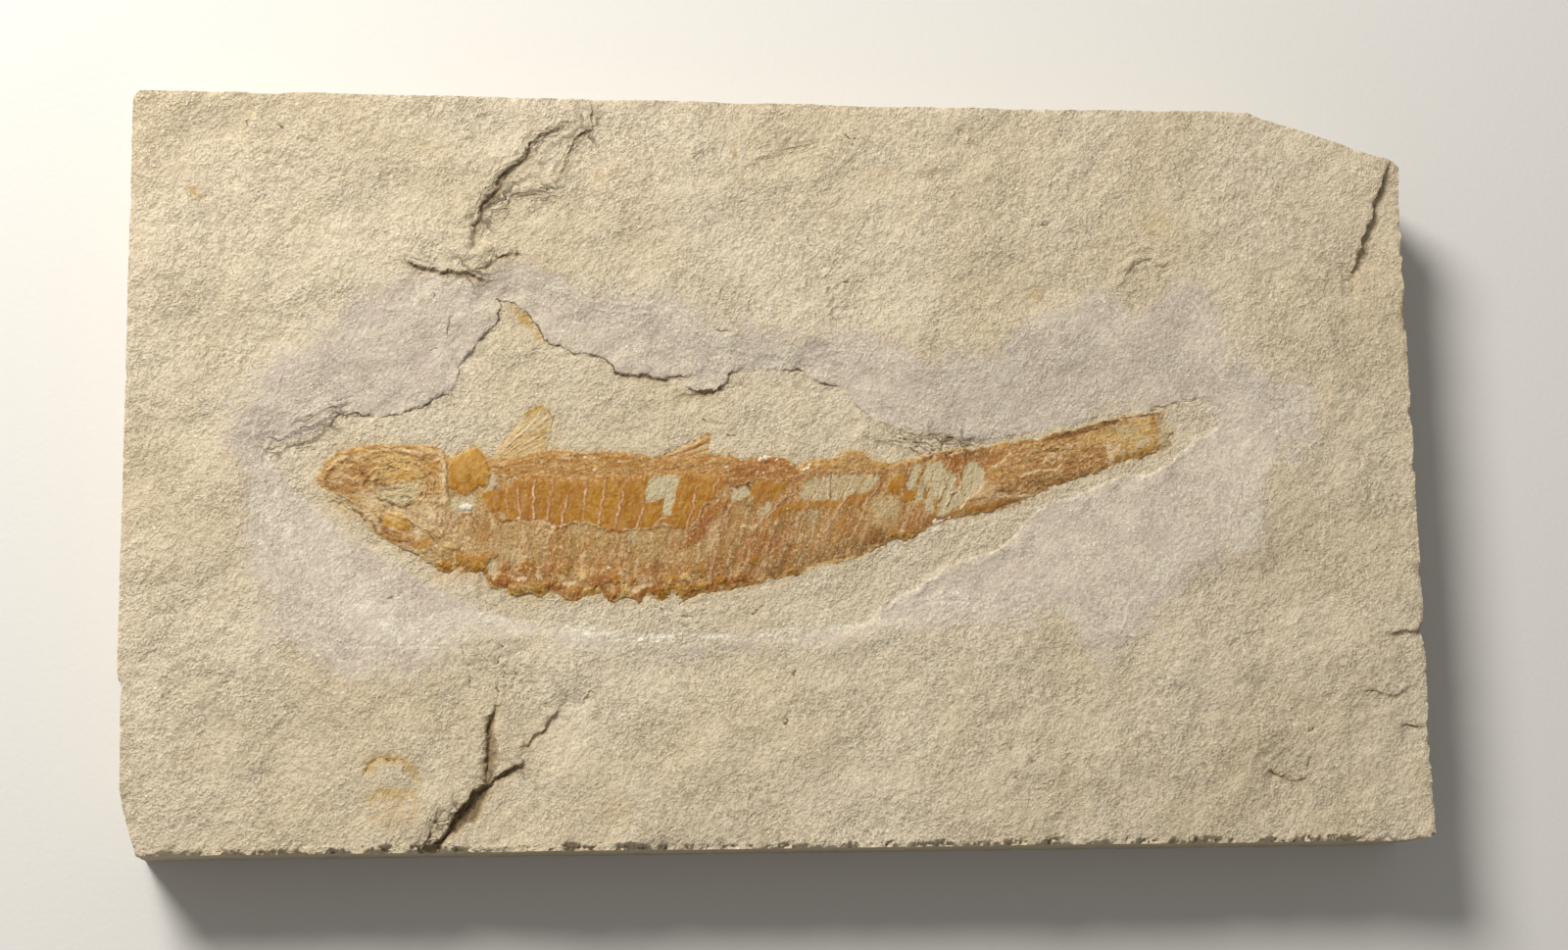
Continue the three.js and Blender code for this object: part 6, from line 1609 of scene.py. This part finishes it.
def fossil(slot):
    """The fossil's material: the coat's colours, roughened by crumbs except on smooth scales, with
    painted highlights on the raised crumbs and painted shade in their hollows.
    """
    name = "fossil_" + slot
    if name in bpy.data.materials:
        return bpy.data.materials[name]
    s = Shader(name)
    colour = (0.0, 0.0, 0.0)
    for tint, tone in FOSSIL_COLOURS.items():
        colour = s.plus_scaled(srgb(*tone), s.mask(tint), colour)
    speckle = s.noise(0.3, detail=2, roughness=0.7)
    along = s.noise(0.5, s.stretched(14, 2), detail=5, roughness=0.75)
    across = s.noise(0.5, s.stretched(72, 2.2), detail=5, roughness=0.75)
    crumbs = s.mix(s.mask("lengthwise"), across, along)
    rough = s.math("SUBTRACT", 1.0, s.math("MULTIPLY", s.mask("smooth"), 0.8))
    # light and dark crumbs and specks: partly the bone's own flecks, partly painted highlights on the
    # raised ones and painted shade in the sunken ones
    light = s.math("MULTIPLY", s.ramp(crumbs, 0.53, 0.68, 0, 0.55), rough)
    colour = s.mix(light, colour, srgb(230, 202, 152))
    dark = s.math("MULTIPLY", s.ramp(crumbs, 0.47, 0.3, 0, 0.6), rough)
    colour = s.mix(dark, colour, srgb(124, 82, 40))
    light = s.math("MULTIPLY", s.ramp(speckle, 0.55, 0.72, 0, 0.45), rough)
    colour = s.mix(light, colour, srgb(240, 218, 174))
    dark = s.math("MULTIPLY", s.ramp(speckle, 0.45, 0.28, 0, 0.35), rough)
    colour = s.mix(dark, colour, srgb(104, 70, 38))
    gloss = s.math("MULTIPLY_ADD", s.mask("smooth"), -0.25, 0.7)
    gloss = s.math("MULTIPLY_ADD", s.mask("shine"), -0.4, gloss, clamp=True)
    depth = s.math("SUBTRACT", s.math("MULTIPLY_ADD", speckle, 0.5, crumbs), 0.75)
    return s.finish(colour, gloss, s.bump(s.math("MULTIPLY", depth, rough), 0.34), 0.18)


def build_floor():
    size = 4000.0
    corners = [(-size, -size), (size, -size), (size, size), (-size, size)]
    mesh = bpy.data.meshes.new("floor")
    mesh.from_pydata([(x * METRES, y * METRES, 0) for x, y in corners], [], [(0, 1, 2, 3)])
    floor = bpy.data.objects.new("floor", mesh)
    bpy.context.scene.collection.objects.link(floor)
    s = Shader("floor")
    mesh.materials.append(s.finish(srgb(214, 211, 205), 0.6, s.bump(s.noise(0.6), 0.02), 0.3))


def build_camera():
    eye, target = Vector(CAMERA_EYE), Vector(CAMERA_TARGET)
    ahead = (target - eye).normalized()
    right = ahead.cross(Vector((0, 1, 0))).normalized()
    right = Matrix.Rotation(math.radians(CAMERA_ROLL_DEG), 3, ahead) @ right
    up = right.cross(ahead)
    turn = Matrix((right, up, -ahead)).transposed().to_4x4()
    data = bpy.data.cameras.new("camera")
    data.lens = CAMERA_LENS
    data.sensor_width = CAMERA_SENSOR
    data.clip_start = 0.01
    camera = bpy.data.objects.new("camera", data)
    camera.matrix_world = Matrix.Translation(eye * METRES) @ turn
    bpy.context.scene.collection.objects.link(camera)
    bpy.context.scene.camera = camera


def build_light(name, azimuth_deg, elevation_deg, distance, size, power, colour):
    """An area light that looks at the slab from a compass direction, with +Y as north."""
    a, e = math.radians(azimuth_deg), math.radians(elevation_deg)
    towards = Vector((math.sin(a) * math.cos(e), math.cos(a) * math.cos(e), math.sin(e)))
    data = bpy.data.lights.new(name, "AREA")
    data.shape = "DISK"
    data.size = size * METRES
    data.energy = power
    data.color = colour
    light = bpy.data.objects.new(name, data)
    light.location = towards * distance * METRES
    light.rotation_euler = (-towards).to_track_quat("-Z", "Y").to_euler()
    bpy.context.scene.collection.objects.link(light)


def build_world():
    """A pale, even surrounding light."""
    world = bpy.data.worlds.new("studio")
    world.use_nodes = True
    world.node_tree.nodes["Background"].inputs["Color"].default_value = (1, 0.99, 0.98, 1)
    world.node_tree.nodes["Background"].inputs["Strength"].default_value = 0.27
    bpy.context.scene.world = world


build_camera()
build_world()
build_light("key", -38, 43, 470, 190, 2.85, (1, 0.985, 0.955))
build_floor()
build_slab()
build_fish()
bpy.context.scene.view_settings.view_transform = "Standard"
